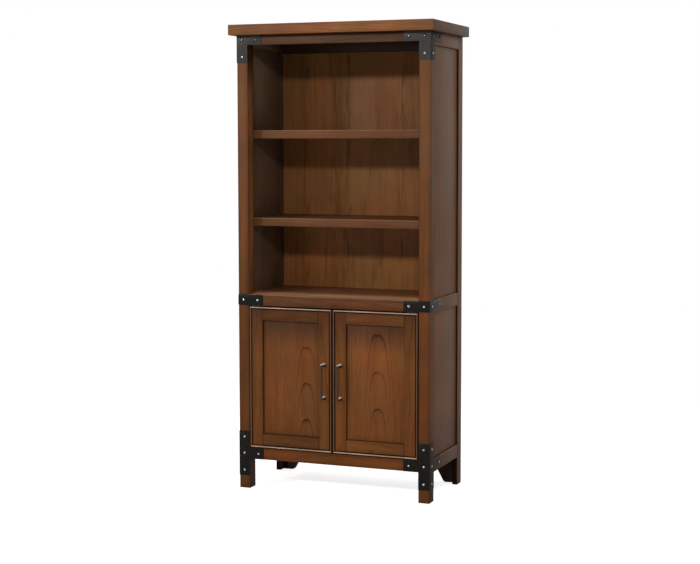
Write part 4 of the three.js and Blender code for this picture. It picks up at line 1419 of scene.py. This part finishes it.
@dataclass
class CabinetDoor(Woodwork):
    """A framed door with a bead round its edge and a recessed flat panel."""

    hand: Hand = Hand.LEFT
    arris: float = 0.5 * MM
    bead_width: float = 7 * MM
    quirk_width: float = 4 * MM
    quirk_middle: float = 0.75
    front_depth: float = 5.8 * MM
    crest_start: float = 1.5 * MM
    crest_facing: float = 0.4
    edge_reach: float = 0.2 * MM
    frame_width: float = 59 * MM
    arches: float = 0.0
    pith: float = 70 * MM
    top_level: float = 1.0
    bottom_level: float = 1.0
    panel_level: float = 1.0
    hinge_level: float = 1.0
    meeting_level: float = 1.12
    gap_shade_level: float = 0.4

    def build(self, bronze: Material, pewter: Material) -> None:
        """Dresses the frame, the panel and the pull.

        Args:
            bronze: The pull bar's finish.
            pewter: The pull posts' finish.
        """
        side = self.hand.value
        self.body = f"door_{side}"
        low, high = self.edges()
        for part, grain, level in (
            ("hinge_stile", Grain.UPRIGHT, self.hinge_level),
            ("meeting_stile", Grain.UPRIGHT, self.meeting_level),
            ("top_rail", Grain.ACROSS, self.top_level),
            ("bottom_rail", Grain.ACROSS, self.bottom_level),
        ):
            self.dress_frame(f"door_{part}_{side}", grain, level)
        width = self.frame_width
        # Dark lines round the panel's edges: painted shadow of the frame on the recessed panel
        marks = [(axis, joint) for axis in (0, 2) for joint in (low[axis] + width, high[axis] - width)]
        stain = replace(PANEL_STAIN, pith_depth=self.pith)
        self.dress(f"door_panel_{side}", stain, Grain.UPRIGHT, self.panel_level, self.arches, marks)
        BarPull(self.hand, bronze, pewter).build()

    def edges(self) -> tuple[Vector, Vector]:
        """Gives the door's lowest and highest corners."""
        stiles = ("hinge_stile", "meeting_stile")
        lows, highs = zip(*(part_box(f"door_{stile}_{self.hand.value}") for stile in stiles))
        return Vector([min(pair) for pair in zip(*lows)]), Vector([max(pair) for pair in zip(*highs)])

    def dress_frame(self, node: str, grain: Grain, level: float) -> None:
        """Stains a piece of the frame, with a painted highlight on its top and bottom beads' crest, and
        painted shade in its quirk, on the bead's outer flank and on its edges.

        Args:
            node: The piece's node.
            grain: The axis that its grain follows.
            level: How light the piece is against its fellows.
        """
        low, high = self.edges()
        # Dark lines along the quirk, as painted shade, and along the rails' joints with the stiles
        groove = self.bead_width + self.quirk_middle * self.quirk_width
        marks = [(axis, low[axis] + groove) for axis in (0, 2)]
        marks += [(axis, high[axis] - groove) for axis in (0, 2)]
        if grain is Grain.ACROSS:
            marks += [(0, low.x + self.frame_width), (0, high.x - self.frame_width)]
        board = self.dress(node, DOOR_STAIN, grain, level, marks=marks)
        pick = len(self.made)
        for stain in (BEAD_STAIN, BEAD_HIGHLIGHT, RECESS_SHADE):
            board.data.materials.append(stain.material(board, grain, pick))
        board.data.materials.append(DOOR_STAIN.material(board, grain, pick, self.gap_shade_level))
        for face in board.data.polygons:
            face.material_index = self.finish_of(face, low, high).value

    def finish_of(self, face: MeshPolygon, low: Vector, high: Vector) -> Finish:
        """Says which finish a face of the frame takes, by its place from the door's edges.

        Args:
            face: The face.
            low: The door's lowest corner.
            high: The door's highest corner.

        Returns:
            The finish.
        """
        x, y, z = face.center
        aside, above = min(x - low.x, high.x - x), min(z - low.z, high.z - z)
        inwards = min(aside, above)
        # Painted light: darker edge faces as shade in the gaps, near black in the quirk and on the bead's
        # outer flank, and a pale crest on the top and bottom beads
        if y > low.y + self.front_depth:
            return Finish.EDGE if inwards < self.edge_reach else Finish.FLAT
        if inwards >= self.bead_width + self.quirk_width:
            return Finish.FLAT
        if inwards >= self.bead_width or face.normal.y >= -self.crest_facing or inwards <= self.crest_start:
            return Finish.SHADED_RECESS
        return Finish.HIGHLIGHT if above < aside else Finish.BEAD


@dataclass
class Hinges:
    """The dark bronze knife hinges at both ends of each door."""

    def build(self) -> None:
        """Gives every leaf its bronze."""
        bronze = HINGE_BRONZE.material()
        for name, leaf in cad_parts.items():
            if name.startswith("hinge_"):
                leaf.data.materials.clear()
                leaf.data.materials.append(bronze)
                log.info("hinge leaf %s", name)


@dataclass
class Catch:
    """A magnetic catch under the door stop, with its strike plate on the door."""

    hand: Hand
    black: Material
    steel: Material
    length: float = 42 * MM
    height: float = 11 * MM
    depth: float = 13 * MM
    from_middle: float = 34 * MM
    setback: float = 1 * MM
    strike: float = 1.2 * MM
    strike_inset: float = 4 * MM
    air: float = 0.6 * MM
    pole_inset: float = 8 * MM
    pole_thickness: float = 1.6 * MM
    pole_drops: Span = (2.2 * MM, 7.2 * MM)
    edge_share: float = 0.25
    sharp: float = 35.0

    def build(self) -> None:
        """Makes the catch's housing, its two pole plates and the strike."""
        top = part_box("door_stop")[0].z
        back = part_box(f"door_meeting_stile_{self.hand.value}")[1].y
        front = back + self.strike + self.air
        housing = (self.length, self.depth, self.height)
        self.plate("housing", front + self.setback, top, housing, "case", self.black)
        pole = (self.length - self.pole_inset, self.depth - 2 * self.setback, self.pole_thickness)
        for label, drop in zip(("upper_pole", "lower_pole"), self.pole_drops):
            self.plate(label, front, top - drop, pole, "case", self.steel)
        strike = (self.length - self.strike_inset, self.strike, self.height)
        self.plate("strike", back, top, strike, f"door_{self.hand.value}", self.steel)

    def plate(
        self, label: str, y: float, z: float, size: Place, body: str, material: Material
    ) -> None:
        """Makes one small block with rounded edges.

        Args:
            label: What it is.
            y: The place of its front.
            z: The height of its top.
            size: Its length, depth and height.
            body: The body that it rides on.
            material: Its finish.
        """
        shape = bmesh.new()
        bmesh.ops.create_cube(shape, size=1.0)
        bmesh.ops.scale(shape, vec=size, verts=shape.verts)
        middle = (self.hand.sign * self.from_middle, y + size[1] / 2, z - size[2] / 2)
        bmesh.ops.translate(shape, vec=middle, verts=shape.verts)
        width = self.edge_share * min(size)
        bmesh.ops.bevel(shape, geom=shape.edges[:], offset=width, segments=2, affect="EDGES", profile=0.5)
        keep(shape, f"catch_{self.hand.value}_{label}", body, "bracket_steel", material, self.sharp)


@dataclass(frozen=True)
class Softbox:
    """A rectangular lamp that faces the middle of the bookcase."""

    name: str
    place: Place
    size: Span
    power: float
    aim: Place = (0.0, 0.0, 1.0)

    def hang(self) -> None:
        """Hangs the lamp and turns it towards its aim."""
        data = bpy.data.lights.new(self.name, "AREA")
        data.shape = "RECTANGLE"
        data.size, data.size_y = self.size
        data.energy = self.power
        lamp = in_scene(self.name, data)
        lamp.location = self.place
        lamp.rotation_euler = (Vector(self.aim) - Vector(self.place)).to_track_quat("-Z", "Y").to_euler()


@dataclass
class Studio:
    """The pale floor, the soft lights, the white surroundings and the camera."""

    focal_length: float = 77.4
    film_width: float = 36.0
    camera_place: Place = (2.398, -5.993, 1.489)
    azimuth: float = math.radians(20.85)
    dip: float = math.radians(4.52)
    shift: Span = (-0.0357, -0.03)
    lamps: tuple[Softbox, ...] = (
        Softbox("left_softbox", (-4.75, -6.5, 3.8), (0.9, 0.4), 198.0),
        Softbox("right_softbox", (2.26, -6.5, 3.8), (1.6, 0.4), 160.0),
    )
    front_ambient: float = 0.34
    back_ambient: float = 0.7
    front_reflected: float = 0.15
    backdrop: Span = (-0.3, 0.5)
    ceiling: Span = (0.45, 0.8)
    floor_half: float = 30.0
    floor_tone: float = 0.9
    floor_glow: float = 0.75
    floor_fade: Span = (1.2, 3.0)

    def build(self) -> None:
        """Sets everything round the bookcase."""
        self.floor()
        self.world()
        for lamp in self.lamps:
            lamp.hang()
        self.camera()
        bpy.context.scene.view_settings.view_transform = "Standard"

    def floor(self) -> None:
        """Lays the floor, which looks white and still takes the bookcase's shadow."""
        mesh, half = bpy.data.meshes.new("floor"), self.floor_half
        corners = [(-half, -half, 0), (half, -half, 0), (half, half, 0), (-half, half, 0)]
        mesh.from_pydata(corners, [], [(0, 1, 2, 3)])
        floor = in_scene("floor", mesh)
        graph = Graph("pale_floor")
        white = graph.add("BsdfDiffuse", {"Color": (self.floor_tone,) * 3}).outputs[0]
        seen = graph.add("LightPath").outputs["Is Camera Ray"]
        glow = graph.add("Emission", {"Strength": graph.maths("MULTIPLY", seen, self.floor_glow)}).outputs[0]
        near = graph.add("AddShader", {0: white, 1: glow}).outputs[0]
        away = graph.add("VectorMath", {0: graph.held}, operation="LENGTH").outputs["Value"]
        share = graph.maths("MULTIPLY", seen, graph.spread(away, *self.floor_fade, 0.0, 1.0))
        far = graph.add("Emission", {"Strength": 1.0}).outputs[0]
        both = graph.add("MixShader", {0: share, 1: near, 2: far}).outputs[0]
        graph.add("OutputMaterial", {"Surface": both})
        mesh.materials.append(graph.material)
        floor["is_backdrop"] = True

    def world(self) -> None:
        """Gives white surroundings to what is seen, and a white backdrop and a dimmer room to what is lit."""
        world = bpy.data.worlds.new("surroundings")
        bpy.context.scene.world = world
        world.use_nodes = True
        wiring = Wiring(world.node_tree)
        parts = wiring.parts(wiring.add("TexCoord").outputs["Generated"])
        ray = wiring.add("LightPath").outputs
        behind = wiring.spread(parts["Y"], *self.backdrop, 0.0, 1.0, interpolation_type="SMOOTHSTEP")
        above = wiring.spread(parts["Z"], *self.ceiling, 0.0, 1.0, interpolation_type="SMOOTHSTEP")
        level = wiring.between(behind, self.front_ambient, self.back_ambient)
        reflected = wiring.between(above, wiring.between(behind, self.front_reflected, 1.0), 1.0)
        level = wiring.between(ray["Is Glossy Ray"], level, reflected)
        for kind in ("Is Transmission Ray", "Is Camera Ray"):
            level = wiring.between(ray[kind], level, 1.0)
        background = wiring.add("Background", {"Color": PLAIN, "Strength": level})
        wiring.add("OutputWorld", {"Surface": background.outputs[0]})

    def camera(self) -> None:
        """Sets the camera at the photograph's angle."""
        data = bpy.data.cameras.new("camera")
        data.lens, data.sensor_width = self.focal_length, self.film_width
        data.shift_x, data.shift_y = self.shift
        camera = in_scene("camera", data)
        camera.location = self.camera_place
        camera.rotation_euler = (math.pi / 2 - self.dip, 0.0, self.azimuth)
        bpy.context.scene.camera = camera


def write_sizes() -> None:
    """Gathers the model's box and the dressed object's box, lowest and highest corners, as plain lists; they
    are not written out.
    """
    boxes = {"cad": CAD_BOX, "visual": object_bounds()}
    plain = {name: [list(corner) for corner in box] for name, box in boxes.items()}


def main() -> None:
    """Builds and dresses every sub-assembly, then the studio."""
    logging.basicConfig(level=logging.INFO, format="%(name)s: %(message)s")
    for part in (Studio(), Case(), Shelving(), Back(), Ironwork()):
        part.build()
    bronze, pewter = DARK_BRONZE.material(), PEWTER.material()
    left = {"bottom_level": 0.84, "panel_level": 0.88, "hinge_level": 0.93}
    right = {"top_level": 1.37, "bottom_level": 1.15, "panel_level": 1.01}
    for door in (
        CabinetDoor(hand=Hand.LEFT, arches=71 * MM, pith=68.4 * MM, **left),
        CabinetDoor(hand=Hand.RIGHT, arches=11 * MM, pith=71.6 * MM, **right),
    ):
        door.build(bronze, pewter)
    Hinges().build()
    black, steel = CATCH_BLACK.material(), NAIL_STEEL.material()
    for hand in Hand:
        Catch(hand, black, steel).build()
    write_sizes()


if __name__ == "__main__":
    main()
